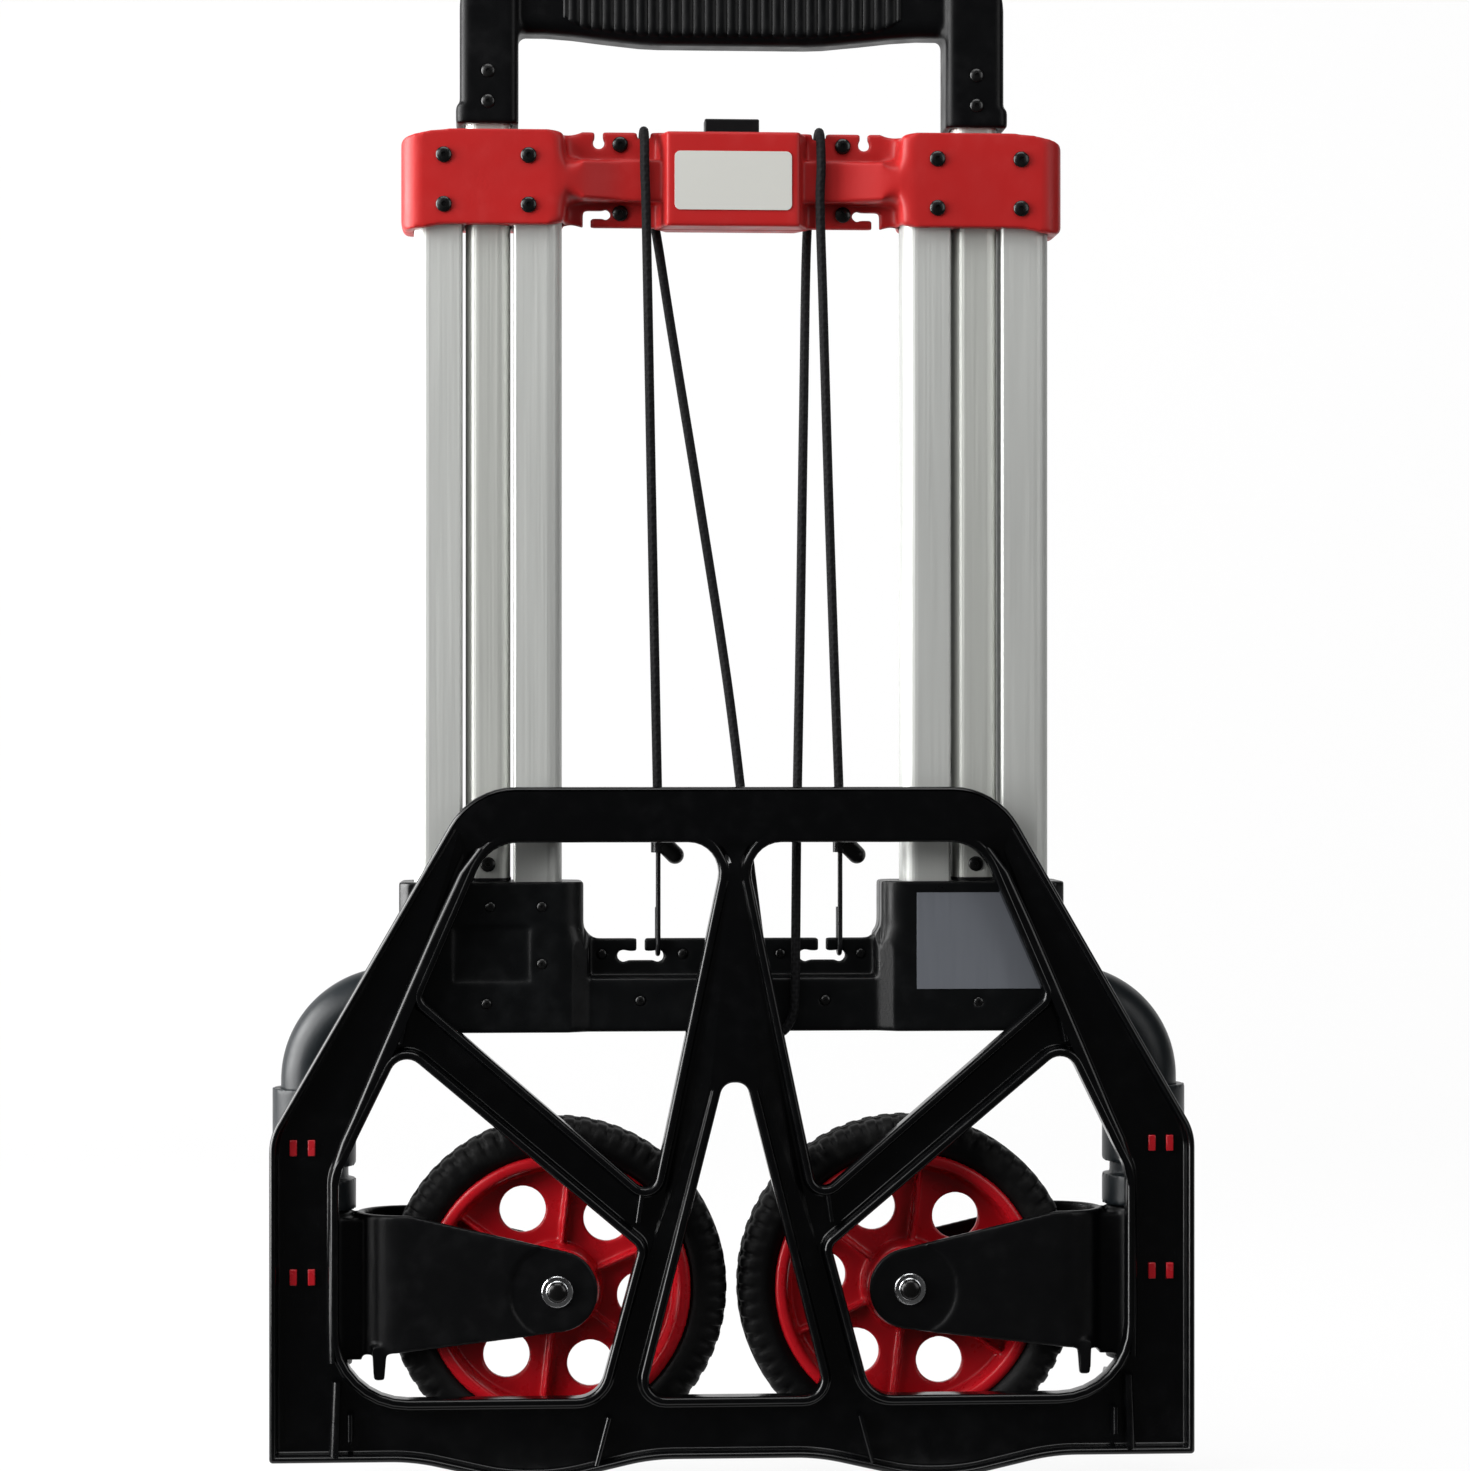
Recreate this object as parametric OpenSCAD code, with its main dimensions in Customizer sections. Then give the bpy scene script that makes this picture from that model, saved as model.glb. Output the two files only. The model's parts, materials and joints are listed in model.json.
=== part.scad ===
// Folding luggage cart, shown folded: handle down, toe plate up against the frame, wheels swung in.
// +Z is up, the toe plate faces -Y, and the part stands on the two lobes of the toe plate.

/* [Frame] */
// Distance from the middle to each wheel post
post_x = 221; // [200:1:240]
// Radius of the steel wheel post
post_r = 10; // [8:0.5:12]
// Distance from the middle to each handle tube
tube_x = 129.3; // [115:0.1:140]
// Width of a handle tube
tube_w = 23.6; // [18:0.2:24]
// Depth of a handle tube
tube_d = 26; // [20:0.5:27]
// Wall of a handle tube
tube_wall = 1.6; // [1.2:0.1:2.5]
// Gap between a handle tube and the rail beside it
rail_gap = 1.7; // [1:0.1:3]
// Width of a rail
rail_w = 25.5; // [20:0.5:27]
// Depth of a rail
rail_d = 30; // [26:1:32]
// Wall of a rail
rail_wall = 2; // [1.5:0.1:3]
// Radius of the outer bend of the shoulder tube
shoulder_r = 17.5; // [15:0.5:18]
// Radius of the shoulder tube's centre line
shoulder_bend = 42; // [36:1:46]

/* [Upper bracket] */
// Height of the underside of the upper bracket
upper_z = 659; // [600:1:720]
// Height of the upper bracket itself
upper_h = 50; // [46:1:60]
// Half of the upper bracket's length
upper_half = 175; // [172:1:180]
// Half of the brackets' depth
bracket_half_d = 21; // [19:0.5:22]
// Half of the thickness of the slotted flanges
flange_half = 2.5; // [2:0.1:3]

/* [Lower bracket] */
// Height of the underside of the lower bracket
lower_z = 233.5; // [220:0.5:240]
// Height of the end blocks of the lower bracket
lower_h = 79.5; // [76:0.5:84]
// Height of the bridge between the end blocks
bridge_h = 49; // [46:1:52]
// Half of the bridge's depth below its flange
bridge_half_d = 15; // [12:0.5:16]

/* [Handle] */
// How far the handle draws out
handle_travel = 310; // [200:5:330]
// Height of the top of the grip above the upper bracket
grip_rise = 88; // [75:1:100]
// Width of a grip leg
leg_w = 31; // [30:1:36]
// Depth of the grip
grip_d = 34; // [30:1:36]
// Travel of the release button
button_travel = 5; // [3:0.5:6]

/* [Wheels] */
// Outer diameter of a tyre
wheel_d = 180; // [160:1:184]
// Width of a tyre
tyre_w = 34; // [28:1:36]
// Distance from a post to its wheel's axle
arm_len = 128; // [116:1:132]
// Radius of the axle
axle_r = 4; // [3:0.5:5]
// Radius of the round holes in the wheel disc
disc_hole_r = 12.2; // [8:0.2:13]

/* [Toe plate] */
// Half of the toe plate's width
plate_half = 243; // [236:1:250]
// Height of the top edge of the toe plate
plate_top = 363; // [340:1:380]
// Depth of the toe plate's rims
plate_d = 11.8; // [10:0.1:12]
// Thickness of the toe plate's floor
plate_floor = 3.2; // [2.5:0.1:5]
// Distance from the hinge pin to the toe plate's underside
hinge_drop = 35; // [34:0.5:38]
// How far the lobes stand below the lower edge
lobe_drop = 11; // [8:0.5:14]

/* [Cord] */
// Diameter of the elastic cord
cord_d = 5; // [4:0.5:6]

/* [Hidden] */
$fn = 64;

post_y = 2;          // the posts stand this far behind the middle of the part's depth
slip = 0.3;          // gap between parts that pass each other
run = 0.05;          // radial clearance of a pin that turns
over = 1;            // how far a cut runs past the face that it opens

// Frame
rail_offset = tube_w / 2 + rail_gap + rail_w / 2;
rail_outer_x = tube_x + rail_offset;
rail_inner_x = tube_x - rail_offset;
upper_top = upper_z + upper_h;
lower_top = lower_z + lower_h;
bridge_top = lower_z + bridge_h;
rail_low = lower_top - 37;
rail_high = upper_top - 7;
shoulder_z = lower_z + shoulder_r - 1;
shoulder_bend_z = shoulder_z - shoulder_bend;
spigot_r = shoulder_r - 4.5;
lower_half = upper_half + 1;

// Wheels and the hinge of the toe plate
wheel_r = wheel_d / 2;
hinge_z = 8 + hinge_drop;
axle_z = hinge_z - hinge_drop + wheel_r;
axle_x = post_x - arm_len;
pin_r = 4;
foot_half_w = 13;
foot_r = 14;
foot_top = hinge_z + foot_r;
sleeve_wall = 10;
sleeve_r = post_r + sleeve_wall;
sleeve_low = foot_top + 0.5;
sleeve_high = axle_z + 41.5;
ring_low = sleeve_high + 0.5;
ring_top = ring_low + 16;
collar_low = ring_top + 7;
collar_top = shoulder_bend_z - 4;
collar_r = shoulder_r + 4.5;

// Toe plate
plate_rear = -hinge_drop + plate_d;
plate_base = lobe_drop;

function arc(cx, cz, r, from, to, steps = 8) =
    [for (i = [0 : steps]) let (a = from + (to - from) * i / steps)
        [cx + r * cos(a), cz + r * sin(a)]];

// Points of a polygon with its corners rounded; each corner is [x, z, radius].
function unit(v) = v / norm(v);
function rounded(corners, steps = 8) = [
    for (i = [0 : len(corners) - 1])
        let (
            n = len(corners),
            here = [corners[i][0], corners[i][1]],
            before = [corners[(i + n - 1) % n][0], corners[(i + n - 1) % n][1]],
            after = [corners[(i + 1) % n][0], corners[(i + 1) % n][1]],
            u = unit(before - here),
            w = unit(after - here),
            half = acos(u * w) / 2,
            r = corners[i][2],
            mid = here + unit(u + w) * r / sin(half),
            a0 = atan2((here + u * r / tan(half) - mid)[1], (here + u * r / tan(half) - mid)[0]),
            a1 = atan2((here + w * r / tan(half) - mid)[1], (here + w * r / tan(half) - mid)[0]),
            turn = (a1 - a0 > 180) ? a1 - a0 - 360 : (a1 - a0 < -180) ? a1 - a0 + 360 : a1 - a0
        )
        each (r == 0 ? [here] : [for (k = [0 : steps]) mid + r * [cos(a0 + turn * k / steps),
                                                              sin(a0 + turn * k / steps)]])
];

// Everything but the cord is drawn about the posts' plane and set back to its place here.
module set_back() { translate([0, post_y, 0]) children(); }
module on_side(side) { mirror([side < 0 ? 1 : 0, 0, 0]) children(); }
module both_sides() { for (side = [-1, 1]) on_side(side) children(); }

// A slab whose outline lies in the XZ plane, from y0 back to y1.
module slab(points, y0, y1) {
    translate([0, y1, 0]) rotate([90, 0, 0]) linear_extrude(y1 - y0) polygon(points);
}
module block(x0, x1, y0, y1, z0, z1) {
    translate([x0, y0, z0]) cube([x1 - x0, y1 - y0, z1 - z0]);
}
module rod_x(x0, x1, y, z, r) { translate([x0, y, z]) rotate([0, 90, 0]) cylinder(h = x1 - x0, r = r); }
module rod_y(x, y0, y1, z, r) { translate([x, y1, z]) rotate([90, 0, 0]) cylinder(h = y1 - y0, r = r); }
module rod_z(x, y, z0, z1, r) { translate([x, y, z0]) cylinder(h = z1 - z0, r = r); }

// ---- Rails and handle tubes ----

rail_r = 8;           // rounded corners of a rail
rail_edge_r = 1.5;    // its other two corners
rail_hole_r = 2;
screw_x_outer = 152.5;
screw_x_inner = 108;
screw_z_top = upper_top - 14;
screw_z_low = upper_z + 10;
lower_screw_z = lower_top - 13;
lower_rail_screw_x = 101;
bolt_r = 3.8;
bolt_z = upper_z + 25;
through = 30;         // a cutter that reaches this far each way goes through either bracket

function rail_outline(w, d, r_out, r_in) = rounded([
    [-w / 2, -d / 2, r_in], [w / 2, -d / 2, r_out], [w / 2, d / 2, r_out], [-w / 2, d / 2, r_in]]);

module rail(x) {
    translate([x, 0, rail_low]) linear_extrude(rail_high - rail_low) difference() {
        polygon(rail_outline(rail_w, rail_d, rail_r, rail_edge_r));
        polygon(rail_outline(rail_w - 2 * rail_wall, rail_d - 2 * rail_wall,
                             max(rail_r - rail_wall, 0.4), max(rail_edge_r - rail_wall, 0.4)));
    }
}
module rail_outer(side) {
    on_side(side) difference() {
        rail(rail_outer_x);
        for (z = [screw_z_top, screw_z_low]) rod_y(screw_x_outer, -rail_d, rail_d, z, rail_hole_r);
    }
}
// The inner rail is the outer one turned round, so that its rounded corners face the middle.
module turned_rail() { translate([2 * rail_inner_x, 0, 0]) mirror([1, 0, 0]) rail(rail_inner_x); }
module rail_inner(side) {
    on_side(side) difference() {
        turned_rail();
        for (z = [screw_z_top, screw_z_low]) rod_y(screw_x_inner, -rail_d, rail_d, z, rail_hole_r);
        rod_y(lower_rail_screw_x, -rail_d, rail_d, lower_screw_z, rail_hole_r);
        rod_x(rail_inner_x - rail_w, rail_inner_x + rail_w, 0, bolt_z, bolt_r + slip);
    }
}

shoe_z = lower_top + slip;
tube_low = shoe_z + 1.5;
leg_low = upper_top + 3.5;
grip_top = upper_top + grip_rise;
tube_high = grip_top - 12;
guide_rivet_z = lower_top + 9;
latch_hole_z = bolt_z - handle_travel;

tube_r = 7;           // corners of a handle tube
guide_rivet_r = 2.5;
guide_head_r = 4;
guide_head_h = 1.2;
shoe_plug_h = 15;     // how far a shoe reaches into its tube
shoe_lip = 0.4;       // how far its foot stands past the tube

function tube_outline(w, d, r) = rounded([[-w / 2, -d / 2, r], [w / 2, -d / 2, r],
                                          [w / 2, d / 2, r], [-w / 2, d / 2, r]]);

module handle_tube(side) {
    on_side(side) difference() {
        translate([tube_x, 0, tube_low]) linear_extrude(tube_high - tube_low) difference() {
            polygon(tube_outline(tube_w, tube_d, tube_r));
            polygon(tube_outline(tube_w - 2 * tube_wall, tube_d - 2 * tube_wall, tube_r - tube_wall));
        }
        rod_x(tube_x - tube_w, tube_x, 0, latch_hole_z, bolt_r + slip);
        rod_y(tube_x, -tube_d, tube_d, guide_rivet_z, guide_rivet_r);
        for (z = leg_rivet_z) rod_y(tube_x, -tube_d, tube_d, z, rail_hole_r);
    }
}
module guide_shoe() {
    difference() {
        union() {
            translate([tube_x, 0, tube_low]) linear_extrude(shoe_plug_h)
                polygon(tube_outline(tube_w - 2 * tube_wall, tube_d - 2 * tube_wall, tube_r - tube_wall));
            translate([tube_x, 0, shoe_z]) linear_extrude(tube_low - shoe_z)
                polygon(tube_outline(tube_w + 2 * shoe_lip, tube_d + 2 * shoe_lip, tube_r + shoe_lip));
        }
        rod_y(tube_x, -tube_d, tube_d, guide_rivet_z, guide_rivet_r);
    }
}
module guide_shoes() { color("#1c1d20") both_sides() guide_shoe(); }
module guide_rivets() {
    color("#141414") both_sides() {
        rod_y(tube_x, -tube_d / 2, tube_d / 2, guide_rivet_z, guide_rivet_r);
        rod_y(tube_x, -tube_d / 2 - guide_head_h, -tube_d / 2, guide_rivet_z, guide_head_r);
        rod_y(tube_x, tube_d / 2, tube_d / 2 + guide_head_h, guide_rivet_z, guide_head_r);
    }
}

// ---- Handle grip ----

leg_rivet_z = [leg_low + 11.5, leg_low + 27.5];
bar_low = upper_top + 52;
bar_belly = 3;
leg_shift = -0.6;     // the legs stand a little inboard of their tubes
leg_in = tube_x - leg_w / 2 + leg_shift;
leg_out = tube_x + leg_w / 2 + leg_shift;
grip_corner_r = 22;
grip_inner_r = 2;
belly_from = 60;      // the crossbar swells between these distances from the middle
belly_full = 30;
leg_foot = 2;         // foot ridge at the bottom of a leg
leg_foot_h = 10;
leg_edge_r = 5;       // roundings down the edges of a leg
web_cut = 4;          // the crossbar is thinner than the legs
bar_d = grip_d - 2 * web_cut;
leg_mid = tube_x + leg_shift;
leg_head_r = 3.6;

module grip_outline() {
    difference() {
        polygon(rounded([[-leg_out, leg_low, 0], [-leg_out, grip_top, grip_corner_r],
                         [leg_out, grip_top, grip_corner_r], [leg_out, leg_low, 0]]));
        polygon(concat([[-leg_in, leg_low - over]],
                       arc(-leg_in + grip_inner_r, bar_low - grip_inner_r, grip_inner_r, 180, 90),
                       [[-belly_from, bar_low - 1], [-belly_full, bar_low - bar_belly],
                        [belly_full, bar_low - bar_belly], [belly_from, bar_low - 1]],
                       arc(leg_in - grip_inner_r, bar_low - grip_inner_r, grip_inner_r, 90, 0),
                       [[leg_in, leg_low - over]]));
    }
}
module grip_slab(d) {
    translate([0, d / 2, 0]) rotate([90, 0, 0]) linear_extrude(d) grip_outline();
}
// Upright of rounded section with the size of a grip leg, out to x = out.
module leg_body(out, height) {
    translate([(leg_in + out) / 2, 0, leg_low]) linear_extrude(height)
        polygon(tube_outline(out - leg_in, grip_d, leg_edge_r));
}
module handle_grip() {
    color("#1c1d20") difference() {
        union() {
            intersection() {
                grip_slab(grip_d);
                both_sides() leg_body(leg_out, grip_top - leg_low);
            }
            intersection() {
                grip_slab(bar_d);
                block(-leg_mid, leg_mid, -grip_d, grip_d, bar_low - 10, grip_top + over);
            }
            both_sides() leg_body(leg_out + leg_foot, leg_foot_h);
        }
        both_sides() {
            translate([tube_x, 0, leg_low - over]) linear_extrude(tube_high - leg_low + over)
                polygon(tube_outline(tube_w, tube_d, tube_r));
            for (z = leg_rivet_z) rod_y(tube_x, -grip_d, grip_d, z, rail_hole_r);
        }
    }
}
module handle_rivets() {
    color("#141414") both_sides() for (z = leg_rivet_z) {
        rod_y(tube_x, -grip_d / 2, grip_d / 2, z, rail_hole_r);
        rod_y(tube_x, -grip_d / 2 - 1, -grip_d / 2, z, leg_head_r);
        rod_y(tube_x, grip_d / 2, grip_d / 2 + 1, z, leg_head_r);
    }
}

// ---- Upper bracket and its lock ----

block_in = 88.5;
band_half_d = 12;
centre_half = 38;
centre_front = 18;
band_low = upper_z + 13.5;
band_high = upper_z + 35.5;
flange_low = upper_z + 0.5;
flange_high = upper_top + 1.5;
droop = 5;
key_x = 70.6;
key_r = 3;
key_z = upper_z + 45.4;
cord_x = 46.7;
cavity_low = upper_z + 5;
cavity_high = upper_top - 7.6;
cavity_half = 36;
socket_head_r = 4.2;  // screws of the upper bracket
socket_head_h = 1.8;

upper_screws = [[screw_x_outer, screw_z_top], [screw_x_outer, screw_z_low],
                [screw_x_inner, screw_z_top], [screw_x_inner, screw_z_low]];
flange_screws = [[59.3, upper_z + 44.7], [59.3, upper_z + 8.2]];

// The end block sinks by droop towards its outer end.
function end_block_outline() = concat(
    [[block_in, upper_z], [block_in, upper_top], [148, upper_top]],
    [[160, upper_top - 1.2], [169, upper_top - 3.2]],
    arc(upper_half - 4, upper_top - droop - 3, 4, 70, 0, 4),
    arc(upper_half - 4, upper_z - droop + 6, 4, 0, -80, 4),
    [[164, upper_z - 2.2], [156, upper_z - 0.6], [148, upper_z]]);
function end_block_plan(d) = concat(
    [[block_in - 4, 0], [block_in - 4, -d * 0.55], [block_in + 1, -d + 1], [block_in + 4, -d]],
    arc(upper_half - 11, -d + 11, 11, -90, 0, 8), [[upper_half, 0]]);

module end_block(d) {
    intersection() {
        slab(end_block_outline(), -bracket_half_d - over, over);
        translate([0, 0, upper_z - 20]) linear_extrude(upper_h + 40) polygon(end_block_plan(d));
    }
}
module centre_block(front) {
    translate([0, 0, upper_z]) linear_extrude(upper_h)
        polygon([[-centre_half - 2, 0], [-centre_half - 2, -flange_half], [-centre_half + 3, -front],
                 [centre_half - 3, -front], [centre_half + 2, -flange_half], [centre_half + 2, 0]]);
}
module upper_shell_body(front) {
    both_sides() end_block(bracket_half_d);
    block(-block_in - 1, block_in + 1, -flange_half, 0, flange_low, flange_high);
    block(-block_in - 1, block_in + 1, -band_half_d, 0, band_low, band_high);
    centre_block(front);
}
// Slots and holes that go through both flanges.
module flange_cuts() {
    both_sides() {
        rod_y(key_x, -through, through, key_z, key_r);
        block(key_x - 2, key_x + 2, -through, through, key_z, flange_high + over);
        block(75, 79, -through, through, upper_z - over, upper_z + 9.5);
        block(67, 79, -through, through, upper_z + 5.5, upper_z + 9.5);
        rod_y(67, -through, through, upper_z + 7.5, 2.6);
        block(cord_x - 3.6, cord_x + 3.6, -through, through, flange_high - 3.7, flange_high + over);
    }
}
module rail_pocket(x, flip) {
    translate([x, 0, upper_z - 20]) linear_extrude(rail_high - upper_z + 20)
        mirror([flip ? 1 : 0, 0, 0]) polygon(rail_outline(rail_w, rail_d, rail_r, rail_edge_r));
}
module lock_cavity() {
    block(-cavity_half, cavity_half, -band_half_d + 2.6, band_half_d - 2.6, cavity_low, cavity_high);
    block(-15, 15, -6, 6, cavity_high - over, flange_high + over);
    rod_x(-tube_x, tube_x, 0, bolt_z, bolt_r + slip);
}
module upper_cuts() {
    both_sides() {
        rail_pocket(rail_outer_x, false);
        rail_pocket(rail_inner_x, true);
        translate([tube_x, 0, upper_z - 20]) linear_extrude(upper_h + 40)
            polygon(tube_outline(tube_w + 2 * slip, tube_d + 2 * slip, tube_r + slip));
        for (p = concat(upper_screws, flange_screws)) rod_y(p[0], -through, through, p[1], rail_hole_r);
    }
    lock_cavity();
}
module upper_bracket_front() {
    color("#b3202a") difference() {
        upper_shell_body(centre_front);
        flange_cuts();
        upper_cuts();
    }
}
module upper_bracket_rear() {
    color("#b3202a") difference() {
        mirror([0, 1, 0]) upper_shell_body(band_half_d);
        flange_cuts();
        upper_cuts();
    }
}
module screw(p, d, head_r, head_h) {
    rod_y(p[0], -d, d, p[1], rail_hole_r);
    rod_y(p[0], -d - head_h, -d, p[1], head_r);
    rod_y(p[0], d, d + head_h, p[1], head_r);
}
module upper_bracket_screws() {
    color("#17181a") both_sides() {
        for (p = upper_screws) screw(p, bracket_half_d, socket_head_r, socket_head_h);
        for (p = flange_screws) screw(p, flange_half, socket_head_r, socket_head_h);
    }
}
module upper_label() {
    color("#dcdcd8") slab(rounded([[-31, upper_z + 8.5, 3], [31, upper_z + 8.5, 3],
                                   [31, upper_z + 39.5, 3], [-31, upper_z + 39.5, 3]]),
                          -centre_front - 0.5, -centre_front);
}

// The button's two legs have slanted inner faces that draw the bolts in as the button goes down.
leg_face_x = 25;
wedge_outline = [[leg_face_x - 12, bolt_z + 12], [leg_face_x + 10, bolt_z + 12],
                 [leg_face_x + 10, bolt_z - 6], [leg_face_x + 6, bolt_z - 6]];
module release_button() {
    color("#1c1d20") {
        block(-14.5, 14.5, -5.5, 5.5, bolt_z + 16, upper_top + button_travel + 3.5);
        block(-leg_face_x - 10, leg_face_x + 10, -8, 8, bolt_z + 12, cavity_high - slip);
        both_sides() for (y = [-8, 4.2]) slab(wedge_outline, y, y + 3.8);
    }
}
module lock_bolt(side) {
    color("#8f9194") on_side(side) {
        slab([[14, bolt_z - 6], [leg_face_x + 5.6, bolt_z - 6], [leg_face_x - 6.4, bolt_z + 6],
              [14, bolt_z + 6]], -8, 8);
        rod_x(15, tube_x - tube_w / 2 - slip, 0, bolt_z, bolt_r);
    }
}
// A compression spring stands in as a ribbed sleeve of its outer size.
module bolt_spring() {
    spring_r = 3.6;
    color("#9a9a9a") translate([-13.7, 0, bolt_z]) rotate([0, 90, 0]) rotate_extrude()
        polygon(concat([[spring_r - 1.6, 0]],
                       [for (i = [0 : 18]) [spring_r - (i % 2) * 0.7, 27.4 * i / 18]],
                       [[spring_r - 1.6, 27.4]]));
}

// ---- Lower bracket ----

lower_in = 79;
fillet_r = 9;
flange_base = lower_z + 28.5;
slot_x = 48.4;
slot_reach = 9.2;
slot_z = lower_z + 39.5;
slot_r = 3.1;
proud_screws = [[128, lower_screw_z], [lower_rail_screw_x, lower_screw_z],
                [lower_rail_screw_x, lower_z + 36.5], [130, lower_z + 15.5]];
bridge_screws = [[49, lower_z + 16.5]];
lower_flange_screws = [[26, slot_z + 1], [69, slot_z + 1]];
small_head_r = 2.6;   // screws of the lower bracket
small_head_h = 1;
spigot_h = 36;        // how far a shoulder reaches into the bracket

module lower_outline() {
    polygon(concat([[-lower_half, lower_z], [-lower_half, lower_top], [-lower_in, lower_top]],
                   arc(-lower_in + fillet_r, bridge_top + fillet_r, fillet_r, 180, 270),
                   arc(lower_in - fillet_r, bridge_top + fillet_r, fillet_r, 270, 360),
                   [[lower_in, lower_top], [lower_half, lower_top], [lower_half, lower_z]]));
}
module lower_plan() {
    polygon([[-lower_half, 0], [-lower_half, -bracket_half_d + 5], [-lower_half + 5, -bracket_half_d],
             [-lower_in - 7, -bracket_half_d], [-lower_in + 3, -bridge_half_d],
             [lower_in - 3, -bridge_half_d], [lower_in + 7, -bracket_half_d],
             [lower_half - 5, -bracket_half_d], [lower_half, -bracket_half_d + 5], [lower_half, 0]]);
}
module lower_shell() {
    difference() {
        intersection() {
            rotate([90, 0, 0]) linear_extrude(bracket_half_d + over) lower_outline();
            translate([0, 0, lower_z - over]) linear_extrude(lower_h + 2 * over) lower_plan();
        }
        // The flange over the bridge is thin, so that hooks reach through its slots.
        block(-lower_in + 3, lower_in - 3, -bracket_half_d - over, -flange_half,
              flange_base, lower_top + over);
        block(-lower_in + 12, lower_in - 12, -bridge_half_d + 3, over, lower_z + 4, flange_base - 4);
        both_sides() block(lower_in + 5, lower_in + 51, -bracket_half_d + 4, over,
                           lower_z + 4, lower_z + 29);
    }
}
module lower_cuts() {
    both_sides() {
        for (x = [rail_outer_x, rail_inner_x])
            translate([x, 0, rail_low]) linear_extrude(lower_h)
                mirror([x == rail_inner_x ? 1 : 0, 0, 0])
                    polygon(rail_outline(rail_w, rail_d, rail_r, rail_edge_r));
        rod_x(lower_half - spigot_h, lower_half + over, 0, shoulder_z, spigot_r);
        for (p = concat(proud_screws, bridge_screws, lower_flange_screws))
            rod_y(p[0], -through, through, p[1], rail_hole_r);
        block(slot_x - 2, slot_x + 2, -through, through, slot_z, bridge_top + over);
        block(slot_x - slot_reach, slot_x + slot_reach, -through, through, slot_z - 2.1, slot_z + 2.1);
        for (dx = [-slot_reach, slot_reach]) rod_y(slot_x + dx, -through, through, slot_z, slot_r);
    }
}
module lower_bracket_front() {
    color("#26272a") difference() {
        lower_shell();
        lower_cuts();
        block(-148, -107, -bracket_half_d - over, -bracket_half_d + 1.2, lower_z + 26.5, lower_z + 56.5);
    }
}
module lower_bracket_rear() {
    color("#26272a") difference() {
        mirror([0, 1, 0]) lower_shell();
        lower_cuts();
    }
}
module lower_bracket_screws() {
    color("#1b1c1e") {
        on_side(-1) for (p = proud_screws) screw(p, bracket_half_d, small_head_r, small_head_h);
        for (p = proud_screws) {
            rod_y(p[0], -bracket_half_d, bracket_half_d, p[1], rail_hole_r);
            rod_y(p[0], bracket_half_d, bracket_half_d + small_head_h, p[1], small_head_r);
        }
        both_sides() {
            for (p = bridge_screws) screw(p, bridge_half_d, small_head_r, small_head_h);
            for (p = lower_flange_screws) screw(p, flange_half, small_head_r, small_head_h);
        }
    }
}
module lower_label() {
    color("#9b9ea2") block(97, 166, -bracket_half_d - 0.4, -bracket_half_d, lower_z + 22.5, lower_z + 73.5);
}

// ---- Shoulders, posts and feet ----

bend_x = post_x - shoulder_bend;
post_low = hinge_z + pin_r + 2;
post_high = collar_low + 35;

module shoulder(side) {
    color("#2b2d31") on_side(side) difference() {
        union() {
            rod_x(lower_half - spigot_h, lower_half, 0, shoulder_z, spigot_r);
            rod_x(lower_half, bend_x, 0, shoulder_z, shoulder_r);
            translate([bend_x, 0, shoulder_bend_z]) rotate([90, 0, 0]) rotate_extrude(angle = 90)
                translate([shoulder_bend, 0]) circle(r = shoulder_r);
            rod_z(post_x, 0, collar_low + 2, shoulder_bend_z, shoulder_r);
        }
        rod_z(post_x, 0, collar_low, post_high, post_r);
    }
}
module collar(side) {
    color("#33353a") on_side(side) difference() {
        rod_z(post_x, 0, collar_low, collar_top, collar_r);
        rod_z(post_x, 0, collar_low + 2, collar_top + over, shoulder_r);
        rod_z(post_x, 0, collar_low - over, collar_low + 3, post_r);
    }
}
module post_ring(side) {
    color("#33353a") on_side(side) difference() {
        union() {
            rod_z(post_x, 0, ring_low, ring_top, collar_r);
            rod_z(post_x, 0, ring_top, collar_low, collar_r - 4);
        }
        rod_z(post_x, 0, ring_low - over, collar_low + over, post_r);
    }
}
module post(side) { color("#8f9194") on_side(side) rod_z(post_x, 0, post_low, post_high, post_r); }
module foot_block(side) {
    color("#222326") on_side(side) difference() {
        union() {
            rod_x(post_x - foot_half_w, post_x + foot_half_w, 0, hinge_z, foot_r);
            block(post_x - foot_half_w, post_x + foot_half_w, -foot_r, foot_r, hinge_z, foot_top);
        }
        rod_x(post_x - foot_half_w - over, post_x + foot_half_w + over, 0, hinge_z, pin_r);
        rod_z(post_x, 0, post_low, foot_top + over, post_r);
    }
}
lug_gap = 1.2;
lug_w = 6.6;
lug_r = 9;
module hinge_pin(side) {
    reach = foot_half_w + lug_gap + lug_w + 0.6;
    color("#8f9194") on_side(side) rod_x(post_x - reach, post_x + reach, 0, hinge_z, pin_r);
}

// ---- Toe plate ----

bar_h = 29;
base_bar_top = 43.5;
slope = 60;
knee_z = plate_top - 182;
apex_z = plate_top - 46;       // where the legs of the A leave the top bar
arch_z = plate_top - 155;      // top of the arch between the legs
strut_z = plate_top - 127;     // where a strut's upper line meets the side member
leg_end_z = 52;                // lower end of the legs' sunk fields
lobe_r = 110;                  // roundings of the lobes that the part stands on
outer_top_x = plate_half - (plate_top - knee_z) / tan(slope);
lobe_x = 106;
lobe_half = 62;
lobe_flat = 14;

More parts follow.
